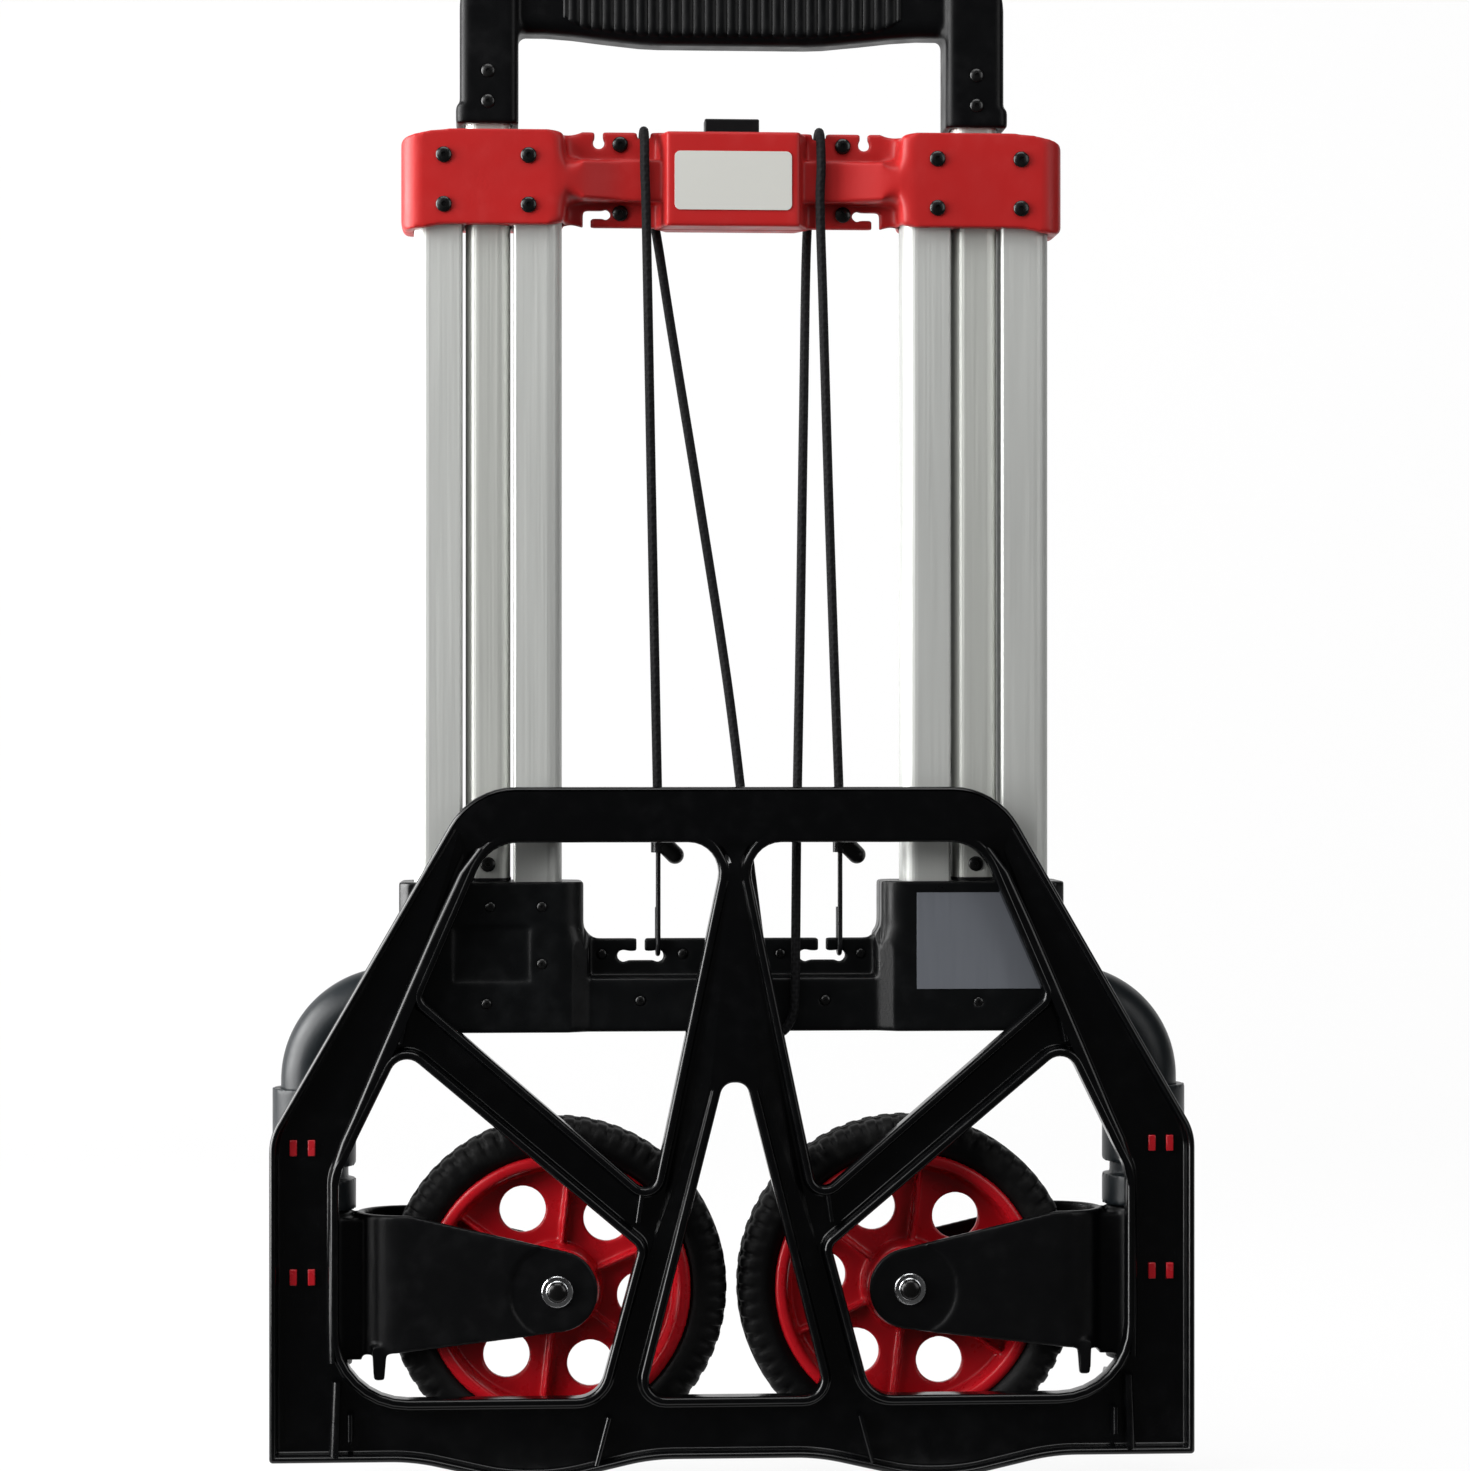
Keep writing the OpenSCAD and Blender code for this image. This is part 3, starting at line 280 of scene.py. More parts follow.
def moulded(node: str, finish: "Finish", grain: float, passes: int) -> bpy.types.Object:
    """A copy of a moulded node with the soft edges and fillets of a moulding, which stands for that node.

    The node's surface is wrapped in an even mesh, and each point then moves half way to the middle of its
    neighbours, a few times over. Flat faces stay flat, and edges and corners become round.

    Args:
        node: the node to copy.
        finish: its finish.
        grain: the size of the even mesh's squares, in millimetres.
        passes: how often the points move, which sets how round the edges are.

    Returns:
        The new object.
    """
    piece = shell_of(node, False)
    wrap = piece.modifiers.new("wrap", "REMESH")
    wrap.mode = "VOXEL"
    wrap.voxel_size = grain * MM
    relax = piece.modifiers.new("relax", "SMOOTH")
    relax.factor = 0.5
    relax.iterations = passes
    mesh = bpy.data.meshes.new_from_object(piece.evaluated_get(bpy.context.evaluated_depsgraph_get()))
    piece.modifiers.clear()
    piece.data = mesh
    mesh.name = piece.name
    mesh.shade_smooth()
    hand_over(piece, finish, body_of(node), node)
    LOG.info("%s: moulded, %d faces", node, len(mesh.polygons))
    return piece


def places_of(piece: bpy.types.Object) -> Array:
    """The piece's points in millimetres, one row each."""
    return read(piece.data.vertices, "co", 3).reshape(-1, 3) / MM


def put_back(piece: bpy.types.Object, places: Array) -> None:
    """Moves the piece's points to new places, in millimetres."""
    piece.data.vertices.foreach_set("co", (places * MM).ravel())
    piece.data.update()


def eased(piece: bpy.types.Object, share: Array, passes: int) -> None:
    """Rounds one region of a piece further.

    Each point moves by half its share towards the middle of its neighbours, once per pass.

    Args:
        piece: the piece.
        share: how much each point takes part, from 0 to 1.
        passes: how often the points move.
    """
    pairs = read(piece.data.edges, "vertices", 2, int)
    one, two = pairs.reshape(-1, 2).T
    places = places_of(piece)
    count = len(places)
    neighbours = np.bincount(pairs, minlength=count)[:, None]
    for _ in range(passes):
        total = np.stack([np.bincount(one, places[two, k], count) + np.bincount(two, places[one, k], count)
                          for k in range(3)], -1)
        places += 0.5 * share[:, None] * (total / neighbours - places)
    put_back(piece, places)


# ---- Outlines in the XZ plane, in millimetres ----


def turned_left(corners: Array) -> Array:
    """The same corners, counter-clockwise."""
    x, z = corners[:, 0], corners[:, 1]
    area = np.sum(x * np.roll(z, -1) - np.roll(x, -1) * z)
    return corners if area > 0 else corners[::-1]


def grown(corners: Array, distance: float) -> Array:
    """Corners whose edges have moved outwards by a distance, with radii to match.

    A corner p between edges with outward normals m and n moves to p + (m + n) d / (1 + m . n). Where the
    outline bends inwards the radius shrinks by d, and elsewhere it grows by d.
    """
    p = corners[:, :2]
    ahead = unit(np.roll(p, -1, 0) - p)
    out = np.stack([ahead[:, 1], -ahead[:, 0]], 1)
    before = np.roll(out, 1, 0)
    moved = p + (out + before) * (distance / (1 + np.sum(out * before, 1)))[:, None]
    back = np.roll(ahead, 1, 0)
    bend = np.sign(back[:, 0] * ahead[:, 1] - back[:, 1] * ahead[:, 0])
    radius = np.maximum(corners[:, 2] + bend * distance, 0.4)
    return np.column_stack([moved, radius])


def rounded_loop(corners: Array, steps: int = 8) -> Array:
    """Points of a closed outline with rounded corners.

    Each corner's arc has its centre on the corner's bisector, at r / sin(half its angle), and runs from one
    edge's tangent point to the other's.

    Args:
        corners: rows of x, z and radius.
        steps: how many steps each corner's arc has.

    Returns:
        Rows of x and z.
    """
    p, r = corners[:, :2], corners[:, 2]
    u = unit(np.roll(p, 1, 0) - p)
    w = unit(np.roll(p, -1, 0) - p)
    half = np.arccos(np.clip(np.sum(u * w, 1), -1, 1)) / 2
    centre = p + unit(u + w) * (r / np.sin(half))[:, None]
    reach = (r / np.tan(half))[:, None]
    first, last = p + u * reach - centre, p + w * reach - centre
    a0 = np.arctan2(first[:, 1], first[:, 0])
    turn = (np.arctan2(last[:, 1], last[:, 0]) - a0 + math.pi) % (2 * math.pi) - math.pi
    angle = a0[:, None] + turn[:, None] * np.linspace(0, 1, steps + 1)
    return (centre[:, None] + r[:, None, None] * np.stack([np.cos(angle), np.sin(angle)], -1)).reshape(-1, 2)


def inside(points: Array, loop: Array) -> Array:
    """Whether each point lies inside a closed loop, by counting the edges to its right."""
    x, z = points[:, 0][:, None], points[:, 1][:, None]
    a, b = loop[None], np.roll(loop, -1, 0)[None]
    spans = (a[..., 1] > z) != (b[..., 1] > z)
    rise = np.where(b[..., 1] == a[..., 1], 1, b[..., 1] - a[..., 1])
    cross = a[..., 0] + (z - a[..., 1]) / rise * (b[..., 0] - a[..., 0])
    return (spans & (x < cross)).sum(1) % 2 == 1


def filled(outer: Array, holes: list[Array]) -> tuple[Array, Array]:
    """Triangles that fill an outer loop around its holes.

    Returns:
        The points, which are the loops' own, one after another, and the triangles.
    """
    loops = [outer, *holes]
    points = np.concatenate(loops)
    starts = np.cumsum([0] + [len(l) for l in loops[:-1]])
    edges = [(s + i, s + (i + 1) % len(l)) for s, l in zip(starts, loops) for i in range(len(l))]
    flat, _, triangles, *_ = delaunay_2d_cdt([Vector(p) for p in points], edges, [], 0, 1e-9)
    flat = np.array([tuple(p) for p in flat])
    triangles = np.array(triangles)
    middle = flat[triangles].mean(1)
    keep = inside(middle, outer)
    for hole in holes:
        keep &= ~inside(middle, hole)
    return flat, triangles[keep]


# ---- Shared effects ----


def new_group(name: str, inputs: dict, outputs: dict) -> tuple:
    """An empty shader node group with named sockets, its tree, and its two end nodes."""
    tree = bpy.data.node_groups.new(name, "ShaderNodeTree")
    kinds = {float: "NodeSocketFloat", tuple: "NodeSocketColor"}
    for label, value in inputs.items():
        socket = tree.interface.new_socket(name=label, in_out="INPUT", socket_type=kinds[type(value)])
        socket.default_value = value
    for label, kind in outputs.items():
        tree.interface.new_socket(name=label, in_out="OUTPUT", socket_type=kinds[kind])
    return tree, tree.nodes.new("NodeGroupInput"), tree.nodes.new("NodeGroupOutput")


class Wiring:
    """Adds and joins the nodes of one tree."""

    def __init__(self, tree: bpy.types.NodeTree) -> None:
        """Keeps the tree that nodes are added to."""
        self.tree = tree

    def node(self, kind: str, **values) -> bpy.types.Node:
        """A new node. A value is set on the node, or on the input of that name if it has one.

        Args:
            kind: the node's type, without its ShaderNode prefix.
            **values: settings by name, where a socket's value joins the socket to it.

        Returns:
            The node.
        """
        made = self.tree.nodes.new("ShaderNode" + kind)
        for key, value in values.items():
            if hasattr(made, key):
                setattr(made, key, value)
        for key, value in values.items():
            if not hasattr(made, key):
                self.feed(made, key.replace("_", " "), value)
        return made

    def feed(self, node: bpy.types.Node, key: str | int, value) -> None:
        """Sets an input, or joins it where the value is another node's output."""
        socket = node.inputs[key]
        if isinstance(value, bpy.types.NodeSocket):
            self.tree.links.new(value, socket)
        else:
            socket.default_value = value

    def noise(self, scale: float | bpy.types.NodeSocket, place: bpy.types.NodeSocket,
              detail: float = 2.0) -> bpy.types.NodeSocket:
        """Cloudy noise of a given scale, from 0 to 1."""
        made = self.node("TexNoise", Scale=scale, Vector=place, Detail=detail)
        return made.outputs[0]

    def spread(self, value: bpy.types.NodeSocket, low: float, high: float, to_low: float,
               to_high: float) -> bpy.types.NodeSocket:
        """Maps a value from one range to another, held at both ends."""
        made = self.node("MapRange", clamp=True)
        for key, number in enumerate((value, low, high, to_low, to_high)):
            self.feed(made, key, number)
        return made.outputs[0]

    def maths(self, operation: str, a, b=0.0) -> bpy.types.NodeSocket:
        """One sum on one or two numbers."""
        made = self.node("Math", operation=operation)
        self.feed(made, 0, a)
        self.feed(made, 1, b)
        return made.outputs[0]

    def blend(self, share, a, b) -> bpy.types.NodeSocket:
        """A colour between a and b."""
        made = self.node("Mix", data_type="RGBA")
        self.feed(made, 0, share)
        self.feed(made, 6, a)
        self.feed(made, 7, b)
        return made.outputs[2]


def wear_group() -> bpy.types.NodeTree:
    """Uneven tone, rubbed patches and fine scratches, as a handled surface has."""
    tree, start, end = new_group(
        "handled_surface",
        {"Base": (0.5, 0.5, 0.5, 1.0), "Rubbed": (0.6, 0.6, 0.6, 1.0), "Unevenness": 0.1, "Rubbing": 0.2,
         "Roughness": 0.5},
        {"Color": tuple, "Roughness": float, "Scratches": float})
    w = Wiring(tree)
    place = w.node("TexCoord").outputs["Object"]
    broad = w.noise(14.0, place, 3.0)
    fine = w.noise(95.0, place, 4.0)
    long_marks = w.node("Mapping", Vector=place, Scale=(340.0, 340.0, 22.0), Rotation=(0.5, 0.9, 0.3))
    scratch = w.spread(w.noise(1.0, long_marks.outputs[0], 2.0), 0.66, 0.74, 0.0, 1.0)
    patch = w.maths("MULTIPLY", w.spread(w.maths("MULTIPLY", broad, fine), 0.27, 0.42, 0.0, 1.0),
                    start.outputs["Rubbing"])
    tone = w.maths("MULTIPLY", w.spread(broad, 0.3, 0.7, -1.0, 1.0), start.outputs["Unevenness"])
    lit = w.node("HueSaturation", Color=start.outputs["Base"], Value=w.maths("ADD", 1.0, tone))
    w.feed(end, "Color", w.blend(patch, lit.outputs[0], start.outputs["Rubbed"]))
    rough = w.maths("ADD", start.outputs["Roughness"], w.spread(fine, 0.3, 0.7, -0.05, 0.05))
    w.feed(end, "Roughness", w.maths("ADD", rough, w.maths("MULTIPLY", patch, 0.12)))
    w.feed(end, "Scratches", w.maths("MULTIPLY", scratch, start.outputs["Rubbing"]))
    return tree


def grain_group() -> bpy.types.NodeTree:
    """The spark-eroded grain of a moulding tool, as a height."""
    tree, start, end = new_group("mould_grain", {"Scale": 900.0, "Depth": 1.0}, {"Height": float})
    w = Wiring(tree)
    place = w.node("TexCoord").outputs["Object"]
    pits = w.node("TexVoronoi", Vector=place, Scale=start.outputs["Scale"])
    cloud = w.noise(start.outputs["Scale"], place, 3.0)
    mixed = w.maths("ADD", w.maths("MULTIPLY", pits.outputs[0], 0.6), w.maths("MULTIPLY", cloud, 0.5))
    w.feed(end, "Height", w.maths("MULTIPLY", mixed, start.outputs["Depth"]))
    return tree


def drawn_group() -> bpy.types.NodeTree:
    """Fine lines along one axis, as a drawn or brushed metal has."""
    tree, start, end = new_group(
        "drawn_lines", {"Base": (0.7, 0.7, 0.7, 1.0), "Contrast": 0.06, "Roughness": 0.35,
                        "Across": 1400.0, "Along": 9.0},
        {"Color": tuple, "Roughness": float, "Height": float})
    w = Wiring(tree)
    place = w.node("TexCoord").outputs["Object"]
    scale = w.node("CombineXYZ", X=start.outputs["Across"], Y=start.outputs["Across"],
                   Z=start.outputs["Along"])
    lines_place = w.node("VectorMath", operation="MULTIPLY")
    w.feed(lines_place, 0, place)
    w.feed(lines_place, 1, scale.outputs[0])
    lines = w.noise(1.0, lines_place.outputs[0], 2.0)
    clouds = w.noise(9.0, place, 2.0)
    tone = w.maths("MULTIPLY", w.spread(w.maths("ADD", lines, clouds), 0.7, 1.3, -1.0, 1.0),
                   start.outputs["Contrast"])
    lit = w.node("HueSaturation", Color=start.outputs["Base"], Value=w.maths("ADD", 1.0, tone))
    w.feed(end, "Color", lit.outputs[0])
    w.feed(end, "Roughness", w.maths("ADD", start.outputs["Roughness"],
                                     w.spread(lines, 0.3, 0.7, -0.06, 0.06)))
    w.feed(end, "Height", lines)
    return tree


def braid_group() -> bpy.types.NodeTree:
    """The crossing strands of a braided sleeve, which runs along V with U around it."""
    tree, start, end = new_group("braided_sleeve", {"Around": 6.0, "Along": 1.0},
                                 {"Height": float, "Strand": float})
    w = Wiring(tree)
    parts = w.node("SeparateXYZ", Vector=w.node("TexCoord").outputs["UV"])
    u = w.maths("MULTIPLY", parts.outputs[0], start.outputs["Around"])
    v = w.maths("MULTIPLY", parts.outputs[1], start.outputs["Along"])
    full = 2 * math.pi
    rising = w.maths("SINE", w.maths("MULTIPLY", w.maths("ADD", u, v), full))
    falling = w.maths("SINE", w.maths("MULTIPLY", w.maths("SUBTRACT", u, v), full))
    over = w.maths("MAXIMUM", rising, falling)
    w.feed(end, "Height", w.spread(over, -1.0, 1.0, 0.0, 1.0))
    w.feed(end, "Strand", w.spread(w.maths("MULTIPLY", rising, falling), -1.0, 1.0, 0.0, 1.0))
    return tree


class Effects:
    """The shared node groups, each built once."""

    wear = wear_group()
    grain = grain_group()
    drawn = drawn_group()
    braid = braid_group()


def grey(level: float) -> tuple:
    """An opaque grey."""
    return (level, level, level, 1.0)


def new_material(name: str) -> tuple:
    """A material with a Principled BSDF, its wiring and that shader."""
    material = bpy.data.materials.new(name)
    material.use_nodes = True
    wiring = Wiring(material.node_tree)
    return material, wiring, material.node_tree.nodes["Principled BSDF"]


def place_group(wiring: Wiring, tree: bpy.types.NodeTree, **values) -> bpy.types.Node:
    """A node group placed in a material, with its inputs set."""
    made = wiring.tree.nodes.new("ShaderNodeGroup")
    made.node_tree = tree
    for key, value in values.items():
        wiring.feed(made, key, value)
    return made


@dataclass(frozen=True)
class Moulding:
    """A moulded plastic or rubber, or a coat of paint."""

    name: str
    colour: tuple
    rubbed: tuple
    roughness: float = 0.5
    grain: float = 900.0
    depth: float = 0.08
    unevenness: float = 0.1
    rubbing: float = 0.2
    specular: float = 0.5

    def make(self) -> bpy.types.Material:
        """The material."""
        material, w, shader = new_material(self.name + FINISHED)
        surface = place_group(w, Effects.wear, Base=(*self.colour, 1.0), Rubbed=(*self.rubbed, 1.0),
                              Unevenness=self.unevenness, Rubbing=self.rubbing, Roughness=self.roughness)
        grain = place_group(w, Effects.grain, Scale=self.grain, Depth=1.0)
        height = w.maths("SUBTRACT", grain.outputs[0], surface.outputs["Scratches"])
        bump = w.node("Bump", Strength=self.depth, Distance=0.0004, Height=height)
        w.feed(shader, "Base Color", surface.outputs["Color"])
        w.feed(shader, "Roughness", surface.outputs["Roughness"])
        w.feed(shader, "Normal", bump.outputs[0])
        shader.inputs["Specular IOR Level"].default_value = self.specular
        return material


@dataclass(frozen=True)
class DrawnMetal:
    """An extruded, turned or brushed metal with lines along Z."""

    name: str
    colour: tuple
    roughness: float = 0.35
    contrast: float = 0.05
    across: float = 1400.0
    along: float = 9.0
    metallic: float = 1.0

    def make(self) -> bpy.types.Material:
        """The material."""
        material, w, shader = new_material(self.name + FINISHED)
        lines = place_group(w, Effects.drawn, Base=(*self.colour, 1.0), Contrast=self.contrast,
                            Roughness=self.roughness, Across=self.across, Along=self.along)
        bump = w.node("Bump", Strength=0.05, Distance=0.0003, Height=lines.outputs["Height"])
        w.feed(shader, "Base Color", lines.outputs["Color"])
        w.feed(shader, "Roughness", lines.outputs["Roughness"])
        w.feed(shader, "Normal", bump.outputs[0])
        shader.inputs["Metallic"].default_value = self.metallic
        return material


@dataclass(frozen=True)
class Braid:
    """A braided textile sleeve over rubber."""

    name: str
    colour: tuple
    strand: tuple
    around: float
    along: float

    def make(self) -> bpy.types.Material:
        """The material."""
        material, w, shader = new_material(self.name + FINISHED)
        weave = place_group(w, Effects.braid, Around=self.around, Along=self.along)
        colour = w.blend(weave.outputs["Strand"], (*self.colour, 1.0), (*self.strand, 1.0))
        bump = w.node("Bump", Strength=0.6, Distance=0.0004, Height=weave.outputs["Height"])
        w.feed(shader, "Base Color", colour)
        w.feed(shader, "Normal", bump.outputs[0])
        shader.inputs["Roughness"].default_value = 0.75
        shader.inputs["Specular IOR Level"].default_value = 0.15
        return material


class Finish(Enum):
    """Every finish on the cart, by the record's material slot."""

    BRACKET_RED = Moulding("bracket_red", (0.365, 0.012, 0.012), (0.47, 0.05, 0.05), 0.42, 700.0, 0.10,
                           0.05, 0.12, specular=0.25)
    BRACKET_CHARCOAL = Moulding("bracket_charcoal", (0.0022, 0.0025, 0.0028), (0.010, 0.011, 0.012), 0.32,
                                800.0, 0.10, 0.15, 0.2, specular=0.22)
    SCREW_BLACK = Moulding("black_screw", (0.003, 0.003, 0.003), (0.02, 0.02, 0.02), 0.26, 1200.0, 0.04,
                           specular=0.4)
    LABEL_WHITE = Moulding("label_white", (0.50, 0.50, 0.47), (0.47, 0.47, 0.44), 0.40, 500.0, 0.02, 0.02,
                           0.1, specular=0.25)
    LABEL_GREY = DrawnMetal("label_grey", (0.14, 0.15, 0.17), 0.45, 0.03, 900.0, 40.0, 0.3)
    ELBOW_GREY = Moulding("elbow_grey", (0.006, 0.008, 0.0095), (0.02, 0.02, 0.024), 0.36, 900.0, 0.10,
                          specular=0.22)
    FOOT_BLACK = Moulding("foot_black", (0.004, 0.004, 0.005), (0.02, 0.02, 0.02), 0.45, specular=0.15)
    GRIP_BLACK = Moulding("grip_black", (0.0020, 0.0021, 0.0024), (0.010, 0.010, 0.011), 0.36, 1000.0, 0.10,
                          specular=0.12)
    SHOE_BLACK = Moulding("shoe_black", (0.004, 0.004, 0.005), (0.02, 0.02, 0.02), 0.45, specular=0.2)
    BUTTON_BLACK = Moulding("button_black", (0.004, 0.004, 0.0045), (0.02, 0.02, 0.02), 0.36, 900.0, 0.06,
                            specular=0.2)
    PLATE_BLACK = Moulding("plate_black", (0.0010, 0.0011, 0.0013), (0.006, 0.006, 0.007), 0.20, 700.0,
                           0.02, 0.1, 0.12, specular=0.32)
    BUFFER_RED = Moulding("buffer_red", (0.38, 0.008, 0.014), (0.45, 0.04, 0.05), 0.25, 900.0, 0.06)
    CARRIER_BLACK = Moulding("carrier_black", (0.0028, 0.0029, 0.0032), (0.012, 0.012, 0.013), 0.36, 800.0,
                             0.10, specular=0.14)
    TYRE = Moulding("tyre", (0.0030, 0.0030, 0.0032), (0.016, 0.016, 0.015), 0.55, 600.0, 0.20, 0.15, 0.35,
                    specular=0.12)
    RIM_RED = Moulding("rim_red", (0.46, 0.006, 0.012), (0.52, 0.03, 0.04), 0.30, 700.0, 0.05, 0.06, 0.1,
                       specular=0.3)
    BUSH_WHITE = Moulding("bush_white", (0.50, 0.50, 0.47), (0.45, 0.45, 0.43), 0.45)
    CORD_END = Moulding("cord_end_black", (0.003, 0.003, 0.003), (0.02, 0.02, 0.02), 0.32, 900.0, 0.05,
                        specular=0.25)
    HOOK_WIRE = Moulding("hook_wire", (0.008, 0.008, 0.009), (0.06, 0.06, 0.06), 0.30, 1200.0, 0.04,
                         specular=0.35)
    RAIL = DrawnMetal("rail", (0.54, 0.55, 0.53), 0.50, 0.035, 1400.0, 9.0, 0.55)
    HANDLE_TUBE = DrawnMetal("handle_tube", (0.52, 0.53, 0.50), 0.48, 0.035, 1400.0, 9.0, 0.55)
    POST_STEEL = DrawnMetal("post_steel", (0.50, 0.51, 0.52), 0.28, 0.06)
    PIN_STEEL = DrawnMetal("pin_steel", (0.52, 0.52, 0.53), 0.30, 0.06, 900.0, 200.0)
    AXLE_BRIGHT = DrawnMetal("axle_bright", (0.66, 0.67, 0.68), 0.22, 0.05, 500.0, 500.0)
    CORD_BLACK = Braid("cord_black", (0.0028, 0.0028, 0.0032), (0.009, 0.009, 0.010), 4.0, 1.0)

    @property
    def slot(self) -> str:
        """The record's material slot."""
        return self.value.name

    @property
    def material(self) -> bpy.types.Material:
        """The material, built when it is first asked for."""
        return bpy.data.materials.get(self.slot + FINISHED) or self.value.make()


def dress(node: str, finish: Finish) -> None:
    """Gives a node that keeps its shape its finish."""
    node_object = frame["nodes"][node]
    node_object.data.materials.clear()
    node_object.data.materials.append(finish.material)


def body_of(node: str) -> str:
    """The body that a node belongs to."""
    return frame["nodes"][node]["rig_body"]


# ---- Screws and rivets ----


@dataclass
class DomedHeads:
    """The domed heads of a node of screws or rivets, each on its own shank."""

    node: str
    finish: Finish
    crown: float = 1.35
    socket: float = 0.32
    socket_depth: float = 0.55
    wall: float = 0.35
    head_share: float = 0.28
    head_least: float = 0.4 * MM
    steps: int = 28

    def profile(self, radius: float, height: float) -> Array:
        """A head's half section: a short wall, a crown, and a socket sunk into it.

        Above its wall a crown of radius R and rise h has the height h sqrt(1 - (r / R)^2) at radius r.
        """
        wall, rise = self.wall * height, (1 - self.wall) * height * self.crown
        r = radius * np.cos(np.linspace(0, math.acos(self.socket), 9))
        dome = np.column_stack([r, wall + rise * np.sqrt(1 - (r / radius) ** 2)])
        low = dome[-1, 1] - self.socket_depth * rise
        sunk = np.array([[self.socket * radius * 0.96, low], [1e-5, low]])
        return np.concatenate([[[radius, 0.0]], dome, sunk])

    def make(self) -> None:
        """Builds every head and shank of the node as one piece."""
        heads = Parts()
        for low, high in islands(self.node):
            centre = np.array([(low[0] + high[0]) / 2, 0.0, (low[2] + high[2]) / 2])
            radius = (high[0] - low[0]) / 2
            head = self.head_share * radius + self.head_least
            section = self.profile(radius, head)
            front = np.column_stack([section[:, 0], low[1] + head - section[:, 1]])
            back = np.column_stack([section[::-1, 0], high[1] - head + section[::-1, 1]])
            heads.add(*revolved(np.concatenate([front[::-1], back[::-1]]), self.steps, centre))
        heads.build(self.node + "_heads", self.finish, body_of(self.node), self.node, 1.0)


@dataclass
class AxleBolt:
    """A wheel's bolt: a bright washer, a dark domed cap over the thread in front, and a nut behind."""

    side: str
    washer_r: float = 8.3
    cap_r: float = 5.4
    steps: int = 48

    def make(self) -> None:
        """Builds the bolt and its cap, each as a turned surface about the axle.

        The bolt's half section runs from the middle of the washer's face, over its raised edge, down the
        shank and over the washer behind. The cap's runs from its crown, a quarter of an ellipse, down its
        side to the washer.
        """
        low, high = (np.array(c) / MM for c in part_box(f"axle_{self.side}"))
        nut_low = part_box(f"axle_nut_{self.side}")[0].y / MM
        centre = np.array([(low[0] + high[0]) / 2, 0.0, (low[2] + high[2]) / 2])
        face = low[1] + 6.4
        washer = [[1e-3, face - 1.6], [self.cap_r, face - 1.6], [self.cap_r + 0.4, face - 1.2],
                  [self.washer_r - 1.4, face - 1.3], [self.washer_r - 0.5, face - 1.6],
                  [self.washer_r, face - 1.1], [self.washer_r, face - 0.1]]
        rear = [[4.0, face], [4.0, nut_low], [self.washer_r, nut_low], [self.washer_r - 0.2, nut_low + 1.1],
                [4.0, nut_low + 1.2], [4.0, high[1] - 0.6], [3.4, high[1]], [1e-3, high[1]]]
        turn = np.radians(np.linspace(0, 90, 10))[1:]
        crown = np.column_stack([self.cap_r * np.sin(turn), low[1] + 2.6 - 2.4 * np.cos(turn)])
        cap = np.concatenate([[[1e-3, low[1] + 0.2]], crown, [[self.cap_r, face - 1.3], [1e-3, face - 1.3]]])
        for name, profile, finish in (("bolt", np.array(washer + rear), Finish.AXLE_BRIGHT),
                                      ("cap", cap, Finish.SCREW_BLACK)):
            points, quads = revolved(profile, self.steps, centre)
            add_piece(f"axle_{name}_{self.side}", points * MM, quads, finish, body_of(f"axle_{self.side}"),
                      f"axle_{self.side}" if name == "bolt" else "")
        softened(f"axle_nut_{self.side}", Finish.AXLE_BRIGHT, 0.3)


# ---- Toe plate ----


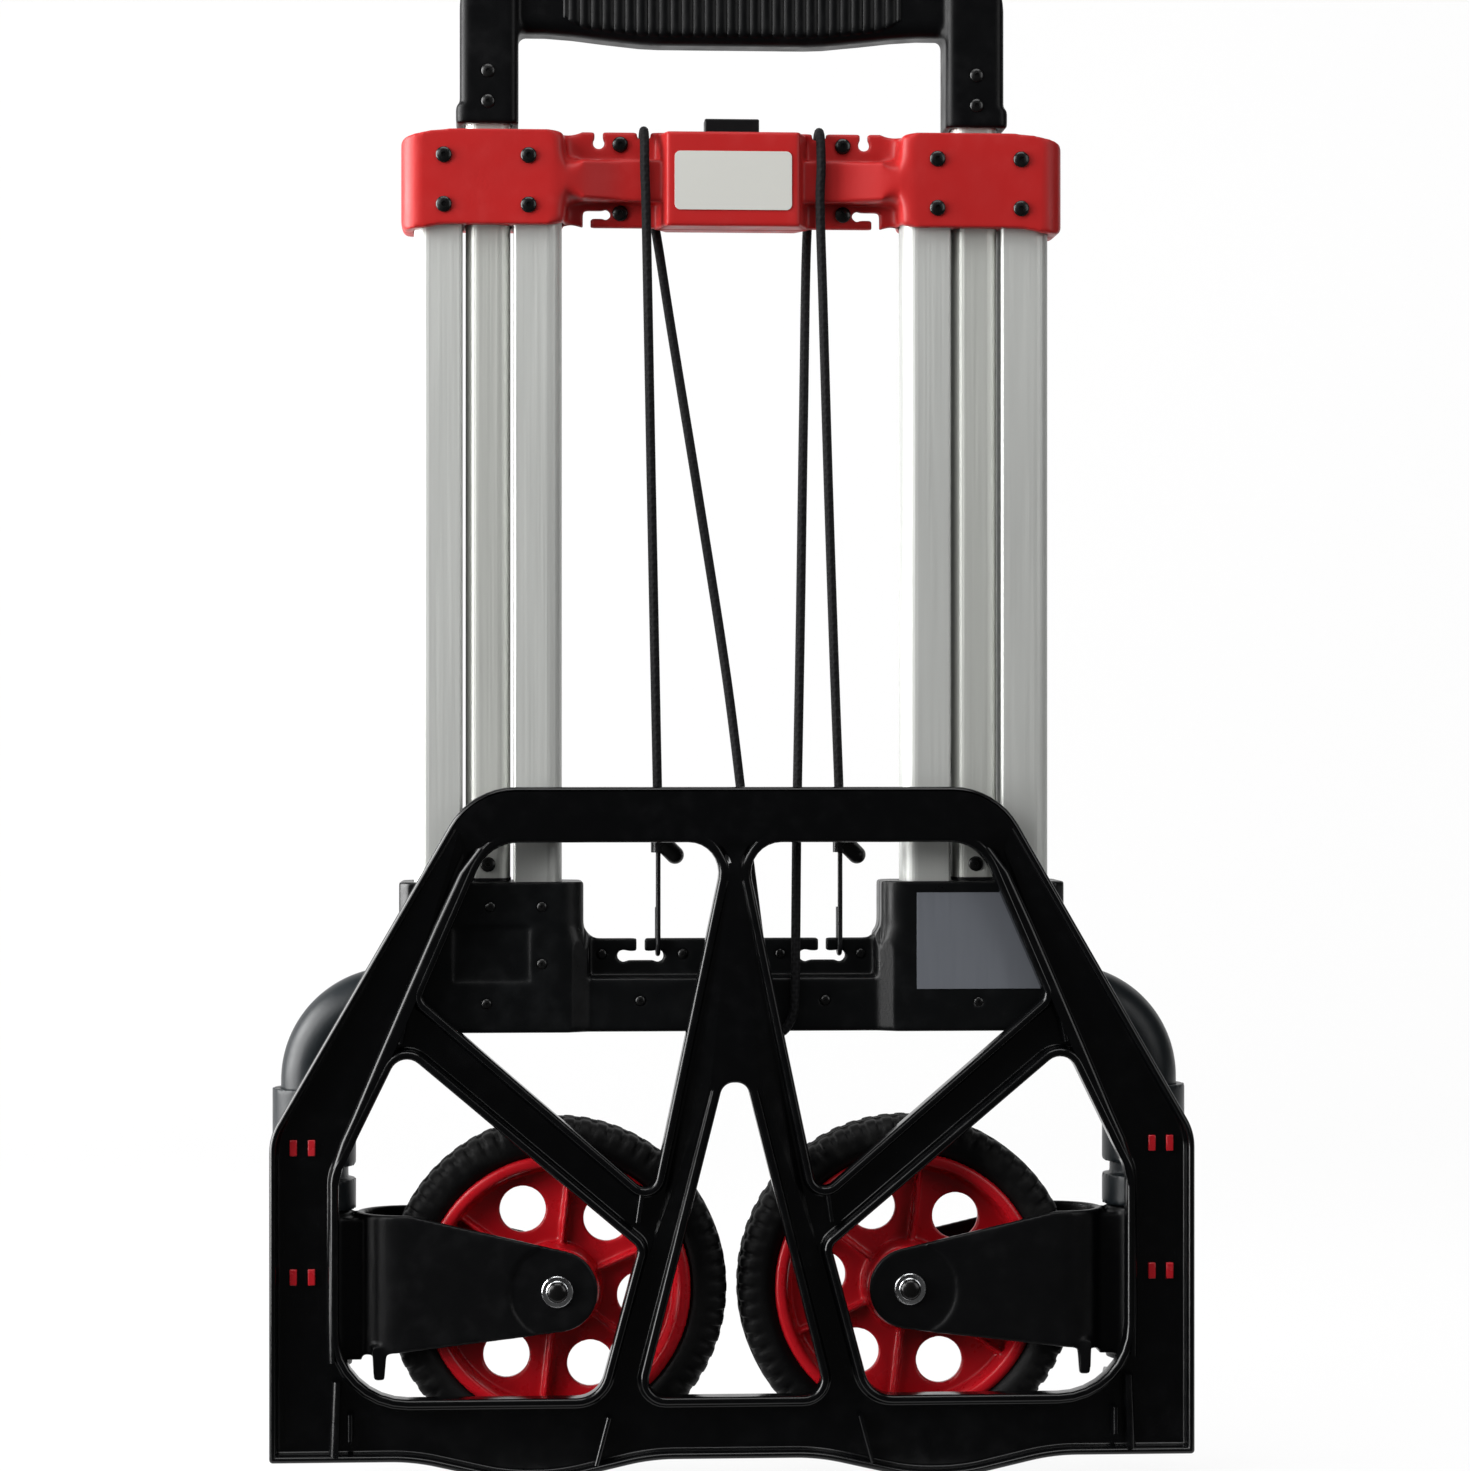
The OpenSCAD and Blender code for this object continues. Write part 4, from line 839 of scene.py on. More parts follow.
@dataclass
class ToePlate:
    """The folding toe plate: rims along every edge, sunk channels between them, and cross ribs."""

    low: Vector = field(default_factory=lambda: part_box("toe_plate")[0] / MM)
    high: Vector = field(default_factory=lambda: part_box("toe_plate")[1] / MM)
    lobe_drop: float = 11.0
    knee: float = 181.0
    slope: float = 60.0
    side: float = 36.0
    bar: float = 29.0
    base_top: float = 43.5
    lobe_x: float = 106.0
    depth: float = 11.8
    floor: float = 3.2
    window_rim: float = 4.6
    outer_rim: float = 3.6
    strut_slope: float = 0.862

    def __post_init__(self) -> None:
        """Works out the places that follow from the plate's box."""
        self.half = self.high.x
        self.top = self.high.z
        self.front = self.low.y
        self.back = self.front + self.depth
        self.inner = self.half - self.side
        self.shoulder = self.half - (self.top - self.knee) / math.tan(math.radians(self.slope))

    def leg_outer(self, z: float) -> float:
        """The outer line of an A leg at a height."""
        return 7.7 + (317 - z) * 0.2337

    def leg_inner(self, z: float) -> float:
        """The inner line of an A leg at a height."""
        return 9.7 + (194 - z) * 0.2527

    def side_inner(self, z: float) -> float:
        """The inner line of a slanted side member at a height."""
        return 137.4 + (314 - z) * 0.435

    def strut_top(self, x: float) -> float:
        """The upper line of a strut."""
        return 236 - (145.8 - x) * self.strut_slope

    def strut_low(self, x: float) -> float:
        """The lower line of a strut."""
        return 217.2 - (161.5 - x) * self.strut_slope

    def outline(self) -> Array:
        """The corners of the plate's outer edge."""
        b, l = self.lobe_drop, self.lobe_x
        lobe = [[-62, b, 110], [-14, 0, 110], [14, 0, 110], [62, b, 110]]
        feet = [[s * l + dx, z, r] for s in (-1, 1) for dx, z, r in lobe]
        return turned_left(np.array(
            feet + [[self.half, b, 2], [self.half, self.knee, 30], [self.shoulder, self.top, 40],
                    [-self.shoulder, self.top, 40], [-self.half, self.knee, 30], [-self.half, b, 2]], float))

    def windows(self) -> list[Array]:
        """The corners of the five windows."""
        lo, li, si = self.leg_outer, self.leg_inner, self.side_inner
        head, base = self.top - self.bar, self.base_top
        upper = np.array([[lo(334) + 1, head, 16], [si(334), head, 24],
                          [si(self.strut_top(165)), self.strut_top(165), 5],
                          [lo(163), self.strut_top(lo(163)), 6]])
        lower = np.array([[lo(133), self.strut_low(lo(133)), 5],
                          [si(self.strut_low(172)) - 1, self.strut_low(172), 9],
                          [self.inner, 160, 20], [self.inner, base, 36], [lo(base), base, 15]])
        arch = np.array([[li(208), 208, 7], [li(base), base, 9], [-li(base), base, 9], [-li(208), 208, 7]])
        flip = np.array([-1.0, 1.0, 1.0])
        return [turned_left(w) for w in (upper, upper * flip, lower, lower * flip, arch)]

    def sunk(self, points: Array) -> Array:
        """How far a place is sunk between the rims, from 0 to 1.

        It is 0 on the top bar and on the solid middle of the A, and rises smoothly over a run-out.
        """
        x, z = np.abs(points[:, 0]), points[:, 1]
        bar = np.clip((self.top - self.bar + 2 - z) / 14, 0, 1)
        middle = np.clip(np.maximum((x - self.leg_outer(z) + 3) / 6, (206 - z) / 14), 0, 1)
        return soft_ends(np.minimum(bar, middle))

    def rim_rings(self, corners: Array, width: float, into: float) -> list[Array]:
        """Rings of points from the back edge, over the rim and down into the channel.

        Args:
            corners: the edge's corners.
            width: how wide the rim is.
            into: 1 where the plate lies outside the edge, and -1 where it lies inside.

        Returns:
            Rings of x, y and z, which all have as many points.
        """
        turn = np.radians(np.linspace(0, 90, 9))
        edge_r, lip_r, foot_r, draft = 2.2, 2.0, 1.8, 0.5
        profile = [(0.8, self.back, 0.0), (0.0, self.back - 0.8, 0.0)]
        profile += [(edge_r - edge_r * math.cos(a), self.front + edge_r - edge_r * math.sin(a), 0.0)
                    for a in turn]
        inner = width - lip_r
        profile += [(inner + lip_r * math.sin(a), self.front + lip_r - lip_r * math.cos(a), 1.0)
                    for a in turn]
        low = self.back - self.floor
        profile += [(width + draft, low - foot_r, 1.0)]
        profile += [(width + draft + foot_r - foot_r * math.cos(a), low - foot_r + foot_r * math.sin(a), 1.0)
                    for a in turn[1:]]
        rings = []
        for distance, y, falls in profile:
            flat = rounded_loop(grown(corners, into * distance))
            level = np.full(len(flat), y)
            if falls:
                share = self.sunk(flat)
                level = self.front * (1 - share) + y * share
            rings.append(np.column_stack([flat[:, 0], level, flat[:, 1]]))
        return rings

    def bar_along(self, ends: list, width: float, top: float) -> tuple[Array, Array]:
        """A straight rib with a rounded top.

        Its section is a wall that closes in a half ellipse, carried from one end to the other.

        Args:
            ends: the x and z of its two ends.
            width: how wide it is.
            top: the y of its crest.

        Returns:
            Its points and faces.
        """
        a, b = (np.array(e, float) for e in ends)
        side = np.array([-(b - a)[1], (b - a)[0]]) / np.linalg.norm(b - a)
        turn = np.linspace(0, math.pi, 13)
        low = self.back - self.floor + 0.4
        off = np.concatenate([[width / 2 + 0.5], width / 2 * np.cos(turn), [-width / 2 - 0.5]])
        y = np.concatenate([[low], top + 1.2 - 1.2 * np.sin(turn), [low]])
        flat = np.stack([a + off[:, None] * side, b + off[:, None] * side])
        points = np.concatenate([flat[..., :1], np.broadcast_to(y[None, :, None], (2, len(y), 1)),
                                 flat[..., 1:]], -1).reshape(-1, 3)
        n = len(y)
        caps = [list(range(n)), list(range(2 * n - 1, n - 1, -1))]
        return points, [*grid_faces(2, n, True).tolist(), *caps]

    def ribs(self) -> list:
        """The cross ribs on the right half, as ends, width and crest."""
        top = self.front + 0.4
        return [
            ([(self.inner - 6, 36.0), (self.inner - 6, 22.0)], 2.6, top),
            ([(66.0, 33.0), (72.5, 8.0)], 2.6, top),
            ([(48.4, 152.5), (51.0, 135.0)], 2.8, top),
            ([(172.5, 241.0), (175.0, 229.0)], 2.6, top),
        ]

    def shelves(self) -> list[Array]:
        """The wide inner edge of a side member, as rows of height, inner x and outer x."""
        slanted = np.array([331.0, 318.0, 290.0, 262.0, 222.0, 191.0])
        along = self.side_inner(slanted)
        wide = np.array([5.5, 9.6, 10.2, 10.2, 10.0, 9.6])
        upper = np.column_stack([slanted, along + 2.0, along + wide])
        bend = [(178.0, 198.0, 206.4), (164.0, 205.0, 211.0), (146.0, 209.2, 212.4), (88.0, 209.2, 213.0),
                (63.0, 209.2, 212.6)]
        foot = [(53.0, 206.0, 210.4), (self.lobe_drop + 3, 207.0, 212.0)]
        return [np.concatenate([upper, bend]), np.array(foot)]

    def shelf(self, rows: Array, side: int) -> tuple[Array, Array]:
        """One wide edge, level with the rims, with a rounded outer side.

        Each level section goes up the inner side, across the top and round a quarter of a circle down to
        the channel.
        """
        turn = np.radians(np.linspace(0, 90, 8))
        edge_r, top, low = 3.6, self.front + 0.15, self.back - self.floor + 0.4
        inner, outer = rows[:, 1:2], rows[:, 2:3]
        x = np.concatenate([inner, inner + 0.1, outer - edge_r + edge_r * np.sin(turn), outer + 0.5], 1)
        level = np.concatenate([[low, top + 0.1], top + edge_r - edge_r * np.cos(turn), [low]])
        n = len(level)
        points = np.stack([side * x, np.broadcast_to(level, x.shape),
                           np.broadcast_to(rows[:, :1], x.shape)], -1)
        total = points.shape[0] * n
        caps = [list(range(n)), list(range(total - 1, total - n - 1, -1))]
        return points.reshape(-1, 3), [*grid_faces(len(rows), n, True).tolist(), *caps]

    def make(self) -> None:
        """Builds the plate, its ribs and its hinge ears."""
        outer = self.rim_rings(self.outline(), self.outer_rim, -1.0)
        holes = [self.rim_rings(w, self.window_rim, 1.0) for w in self.windows()]
        skin = Parts()
        for rings in (outer, *holes):
            skin.add(np.concatenate(rings), grid_faces(len(rings), len(rings[0]), True))
        for at in (0, -1):
            flat, triangles = filled(outer[at][:, [0, 2]], [h[at][:, [0, 2]] for h in holes])
            level = np.concatenate([outer[at][:, 1], *[h[at][:, 1] for h in holes]])
            skin.add(np.column_stack([flat[:, 0], level[:len(flat)], flat[:, 1]]), triangles)
        skin.build("toe_plate_skin", Finish.PLATE_BLACK, "plate", "toe_plate")
        ribs = Parts()
        for ends, width, top in self.ribs():
            for s in (-1, 1):
                ribs.add(*self.bar_along([(s * x, z) for x, z in ends], width, top))
        for rows in self.shelves():
            for s in (-1, 1):
                ribs.add(*self.shelf(rows, s))
        ribs.build("toe_plate_ribs", Finish.PLATE_BLACK, "plate")
        self.make_ears()

    def make_ears(self) -> None:
        """Builds the four hinge ears: a ring round the pin with a foot on the plate.

        Each ear's outline is a half circle over the pin that runs down to the plate in two straight sides,
        and its inner edge is the pin's hole.
        """
        hinge = frame["joints"][[j["name"] for j in frame["joints"]].index("plate_fold")]["pos_m"]
        y0, z0 = hinge[1] / MM, hinge[2] / MM
        pin = (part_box("hinge_pin_left")[1].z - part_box("hinge_pin_left")[0].z) / 2 / MM + 0.05
        ear_r, ear_w, gap, turns = 9.0, 6.6, 1.2, 48
        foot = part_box("foot_block_right")
        angle = np.linspace(0, 2 * math.pi, turns, endpoint=False)
        ring_y, ring_z = ear_r * np.cos(angle), ear_r * np.sin(angle)
        to_plate = self.back - 0.5 - y0
        straight = np.cos(angle) < 0
        ring_y = np.where(straight, to_plate * np.minimum(1, -np.cos(angle) * 4), ring_y)
        ring_z = np.where(straight, np.clip(ring_z * 1.6, -ear_r, ear_r), ring_z)
        ears = Parts()
        for x0 in (foot[0].x / MM - gap - ear_w, foot[1].x / MM + gap):
            for s in (-1, 1):
                rings = []
                for x in (x0, x0 + ear_w):
                    side = np.full(turns, s * x)
                    outer = np.column_stack([side, y0 + ring_y, z0 + ring_z])
                    hole = np.column_stack([side, y0 + pin * np.cos(angle), z0 + pin * np.sin(angle)])
                    rings += [hole, outer] if x == x0 else [outer, hole]
                rings.append(rings[0])
                ears.add(np.concatenate(rings), grid_faces(len(rings), turns, True))
        ears.build("toe_plate_ears", Finish.PLATE_BLACK, "plate")


# ---- Wheels ----


@dataclass
class Tyre:
    """A solid tyre with a ribbed tread and blocks on its shoulders."""

    side: str
    blocks: int = 63
    per_block: int = 8
    groove: float = 0.9
    seat_depth: float = 21.0
    shoulder_r: float = 8.0
    ring_pitch: float = 5.4

    def make(self) -> None:
        """Builds the tyre.

        The section is a rounded band. At angle a a groove g(a) sinks the shoulders, where g is 1 in the gap
        between two blocks and 0 on a block, and four rings of the tread are sunk all round.
        """
        low, high = (np.array(c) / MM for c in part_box(f"tyre_{self.side}"))
        outer = (high[0] - low[0]) / 2
        half = (high[1] - low[1]) / 2
        centre = (low + high) / 2
        seat, round_r = outer - self.seat_depth, self.shoulder_r
        wall = np.array([[seat, -8], [seat + 2, -13], [seat + 5, -half + 1.2], [seat + 8, -half + 0.2],
                         [seat + 10.5, -half]], float)
        turn = np.radians(np.linspace(-90, -14, 9))
        shoulder = np.column_stack([outer - round_r + round_r * np.cos(turn),
                                    -half + round_r + round_r * np.sin(turn)])
        across = np.linspace(-half + round_r, 0, 13)[1:]
        tread = np.column_stack([np.full(12, outer), across])
        left = np.concatenate([wall, shoulder, tread])
        profile = np.concatenate([left, (left * [1, -1])[-2::-1]])
        turns = self.blocks * self.per_block
        angle = np.arange(turns) * 2 * math.pi / turns
        r, y = profile[:, 0][:, None], profile[:, 1][:, None]
        phase = (np.arange(turns) % self.per_block) / self.per_block
        gap = np.clip((0.26 - np.abs(phase - 0.5)) / 0.12, 0, 1)[None]
        on_shoulder = np.clip((r - (seat + 11.5)) / 1.5, 0, 1) * np.clip((np.abs(y) - (half - 11)) / 2, 0, 1)
        rings = 0.5 + 0.5 * np.cos(2 * math.pi * y / self.ring_pitch)
        on_tread = np.clip((half - 8.5 - np.abs(y)) / 1.5, 0, 1) * np.clip((rings - 0.6) / 0.2, 0, 1)
        sink = self.groove * np.maximum(on_shoulder * gap, on_tread * np.clip((r - outer + 1) / 0.5, 0, 1))
        bead = 0.5 * np.exp(-((r - (seat + 9.0)) / 0.8) ** 2) * np.sign(y)
        rr = r - sink
        yy = y - 0.55 * sink * np.sign(y) * on_shoulder + bead
        points = wound(rr, yy, angle, centre)
        rows = len(profile)
        faces = np.concatenate([grid_faces(rows, turns, True),
                                np.stack([np.arange(turns) + (rows - 1) * turns,
                                          (np.arange(turns) + 1) % turns + (rows - 1) * turns,
                                          (np.arange(turns) + 1) % turns, np.arange(turns)], -1)])
        add_piece(f"tyre_{self.side}_tread", points * MM, faces, Finish.TYRE, f"wheel_{self.side}",
                  f"tyre_{self.side}")


# ---- Handle ----


@dataclass
class GripBar:
    """The grip's crossbar: a rounded bar with a belly, and finger ribs in front and behind."""

    half_length: float = 91.0
    pitch: float = 6.0
    rise: float = 1.1
    sink: float = 0.8
    border: float = 2.6
    web: float = 4.0
    bar_height: float = 36.0
    edge_r: float = 9.0
    edge_depth: float = 6.5
    leg: float = 33.0
    cast_belly: tuple = ((30, 60, 111), (3, 1, 0))
    full_belly: tuple = ((39, 49, 69, 85, 99), (5.4, 5.0, 2.9, 1.0, 0))
    belly_reach: float = 20.0

    def __post_init__(self) -> None:
        """Works out the places that follow from the grip's box."""
        self.low, self.high = (np.array(c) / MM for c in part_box("handle_grip"))
        self.middle = (self.low[1] + self.high[1]) / 2
        self.half = self.high[1] - self.middle - self.web
        self.leg_in = self.high[0] - self.leg

    def underside(self, x: Array) -> Array:
        """The height of the bar's underside, which has a belly in the middle."""
        return self.high[2] - self.bar_height - np.interp(np.abs(x), *self.full_belly)

    def half_depth(self, x: Array, z: Array) -> Array:
        """Half the bar's depth at a place, less near its upper and lower edges.

        Within edge_r of an edge, the depth falls off by a quarter of an ellipse that is edge_depth deep.
        """
        near = np.clip(np.minimum(z - self.underside(x), self.high[2] - z), 0, self.edge_r)
        return self.half - self.edge_depth * (1 - np.sqrt(1 - (1 - near / self.edge_r) ** 2))

    def round_off(self, grip: bpy.types.Object) -> None:
        """Gives the crossbar its full belly, and rounds its upper and lower edges.

        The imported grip's underside follows cast_belly, and full_belly is up to 3.3 mm deeper. The lower part
        of the bar is drawn down, by most at the underside and by nothing at belly_reach above it.
        """
        places = places_of(grip)
        x, y, z = places.T
        share = np.clip((self.leg_in - 0.5 - np.abs(x)) / 3, 0, 1)
        cast = self.high[2] - self.bar_height - np.interp(np.abs(x), *self.cast_belly)
        z = z - (cast - self.underside(x)) * np.clip(1 - (z - cast) / self.belly_reach, 0, 1) * share
        places[:, 2] = z
        y = y - self.middle
        kept = np.minimum(np.abs(y), self.half_depth(x, z))
        places[:, 1] = self.middle + np.sign(y) * (np.abs(y) * (1 - share) + kept * share)
        put_back(grip, places)

    def make_ribs(self) -> None:
        """Builds a panel of ribs for the front and one for the back, each a height field on a grid.

        At a distance x along the bar a rib's height is rise |cos(pi x / pitch)|, which gives round backs and
        narrow gaps. It fades to nothing towards the panel's edges, and so the panel sinks into the bar. The
        panel's lower edge follows the belly, and rises at both ends.
        """
        along = np.linspace(-self.half_length, self.half_length, 721)
        across, share_up = np.meshgrid(along, np.linspace(0, 1, 29))
        end = np.clip((np.abs(across) - self.half_length + 16) / 16, 0, 1) ** 2
        floor = self.underside(across) + self.border + 6 * end
        top = self.high[2] - 5.5
        up = floor + (top - floor) * share_up
        fade = np.minimum(np.clip((self.half_length - np.abs(across)) / 3, 0, 1),
                          np.clip(np.minimum(up - floor, top - up) / 2.5, 0, 1))
        fade = soft_ends(fade)
        wave = np.abs(np.cos(math.pi * across / self.pitch)) ** 0.7
        height = self.rise * wave * fade - self.sink * (1 - fade)
        depth = self.half_depth(across, up)
        for name, way in (("grip_ribs_front", -1.0), ("grip_ribs_back", 1.0)):
            outer = np.stack([across, self.middle + way * (depth + height), up], -1).reshape(-1, 3)
            inner = np.stack([across, self.middle + way * (depth - 2.0), up], -1).reshape(-1, 3)
            n, (rows, columns) = len(outer), across.shape
            edge = np.concatenate([np.arange(columns), np.arange(1, rows) * columns + columns - 1,
                                   np.arange(columns - 2, -1, -1) + (rows - 1) * columns,
                                   np.arange(rows - 2, 0, -1) * columns])
            ahead = np.roll(edge, -1)
            faces = np.concatenate([grid_faces(rows, columns, False),
                                    grid_faces(rows, columns, False, n)[:, ::-1],
                                    np.stack([edge, edge + n, ahead + n, ahead], -1)])
            add_piece(name, np.concatenate([outer, inner]) * MM, faces, Finish.GRIP_BLACK, "handle",
                      smooth_angle=60.0)


# ---- Elastic cord ----


@dataclass
class ElasticCord:
    """A braided elastic cord from one wire hook, over the bracket and back to the other hook."""

    diameter: float = 5.0
    sides: int = 12
    route: tuple = (
        (-39.2, -3.6, 332), (-39.2, -3.6, 342), (-39.6, -4.2, 360), (-41, -6, 425), (-43, -8.7, 520),
        (-45, -11.5, 620), (-46.2, -12.8, 676), (-46.7, -13, 689.5), (-46.7, -12, 699.5), (-46.7, -8, 707),
        (-46.7, -3, 710.3), (-46.7, 2, 711.3), (-46.7, 7, 710.3), (-46.7, 12, 707), (-46, 16, 699.5),
        (-44.6, 17, 689.5), (-42.6, 17, 676), (-39, 16.2, 656), (-32, 12.5, 610), (-17, 5, 515),
        (-2, -3, 415), (8, -10, 330), (14, -15.5, 280), (16.4, -16, 258), (18.6, -16, 242),
        (24.6, -16, 233), (31, -16, 241), (32.6, -16, 258), (33, -15.5, 280), (34, -10, 340),
        (36.5, -1.5, 445), (39, 8, 560), (41.4, 16.2, 656), (42.8, 17, 676), (44.6, 17, 689.5),
        (46, 16, 699.5), (46.7, 12, 707), (46.7, 7, 710.3), (46.7, 2, 711.3), (46.7, -3, 710.3),
        (46.7, -8, 707), (46.7, -12, 699.5), (46.7, -13, 689.5), (46.2, -12.8, 676), (47.8, -11.5, 620),
        (51, -8.7, 520), (54.4, -6, 425), (57, -4.2, 360), (57.6, -3.6, 342), (57.6, -3.6, 332))

    def centreline(self, spacing: float = 1.6) -> Array:
        """Points along a smooth curve through the route.

        Between two route points the curve is a centripetal Catmull-Rom piece, and the points are then put
        evenly along its length.
        """
        p = np.array(self.route, float)
        p = np.concatenate([[2 * p[0] - p[1]], p, [2 * p[-1] - p[-2]]])
        knots = distance_along(p, 0.5)
        t0, t1, t2, t3 = (knots[i:len(knots) - 3 + i][:, None, None] for i in range(4))
        p0, p1, p2, p3 = (p[i:len(p) - 3 + i][:, None] for i in range(4))
        t = t1 + (t2 - t1) * np.linspace(0, 1, 40, endpoint=False)[None, :, None]
        a1 = (t1 - t) / (t1 - t0) * p0 + (t - t0) / (t1 - t0) * p1
        a2 = (t2 - t) / (t2 - t1) * p1 + (t - t1) / (t2 - t1) * p2
        a3 = (t3 - t) / (t3 - t2) * p2 + (t - t2) / (t3 - t2) * p3
        b1 = (t2 - t) / (t2 - t0) * a1 + (t - t0) / (t2 - t0) * a2
        b2 = (t3 - t) / (t3 - t1) * a2 + (t - t1) / (t3 - t1) * a3
        dense = ((t2 - t) / (t2 - t1) * b1 + (t - t1) / (t2 - t1) * b2).reshape(-1, 3)
        dense = np.concatenate([dense, p[-2:-1]])
        along = distance_along(dense)
        even = np.linspace(0, along[-1], int(along[-1] / spacing))
        return np.column_stack([np.interp(even, along, dense[:, k]) for k in range(3)])

    def make(self) -> None:
        """Builds the cord as a tube along its centreline.

        Each ring lies square to the line. Its first axis is the part of +X that is square to the line, which
        never fails because the cord never runs along X for long.
        """
        line = self.centreline()
        ahead = unit(np.gradient(line, axis=0))
        first = unit(np.array([1.0, 0, 0]) - ahead[:, :1] * ahead)
        second = np.cross(ahead, first)
        sides = self.sides
        a = np.linspace(0, 2 * math.pi, sides, endpoint=False)
        ring = np.cos(a)[None, :, None] * first[:, None] + np.sin(a)[None, :, None] * second[:, None]
        points = (line[:, None] + self.diameter / 2 * ring).reshape(-1, 3)
        quads = grid_faces(len(line), sides, True)
        caps = [list(range(sides)), list(range(len(points) - 1, len(points) - sides - 1, -1))]
        piece = add_piece("elastic_cord_braid", points * MM, [*quads.tolist(), *caps],
                          Finish.CORD_BLACK, "frame", "elastic_cord", 80.0)
        self.unwrap(piece, line)

    def unwrap(self, piece: bpy.types.Object, line: Array) -> None:
        """Gives the tube a UV map: U goes once round it, and V counts diameters along it."""
        mesh = piece.data
        loop_vertex = read(mesh.loops, "vertex_index", kind=int)
        ring, spoke = np.divmod(np.arange(len(mesh.vertices)), self.sides)
        along = distance_along(line) / self.diameter
        u = spoke[loop_vertex] / self.sides
        totals = read(mesh.polygons, "loop_total", kind=int)
        face = np.repeat(np.arange(len(totals)), totals)
        top = np.zeros(len(totals))
        np.maximum.at(top, face, u)
        u = np.where((top[face] > 0.75) & (u < 0.25) & (totals[face] == 4), u + 1, u)
        v = along[np.minimum(ring[loop_vertex], len(along) - 1)]
        layer = mesh.uv_layers.new(name="sleeve")
        layer.data.foreach_set("uv", np.column_stack([u, v]).ravel())


# ---- The cart ----


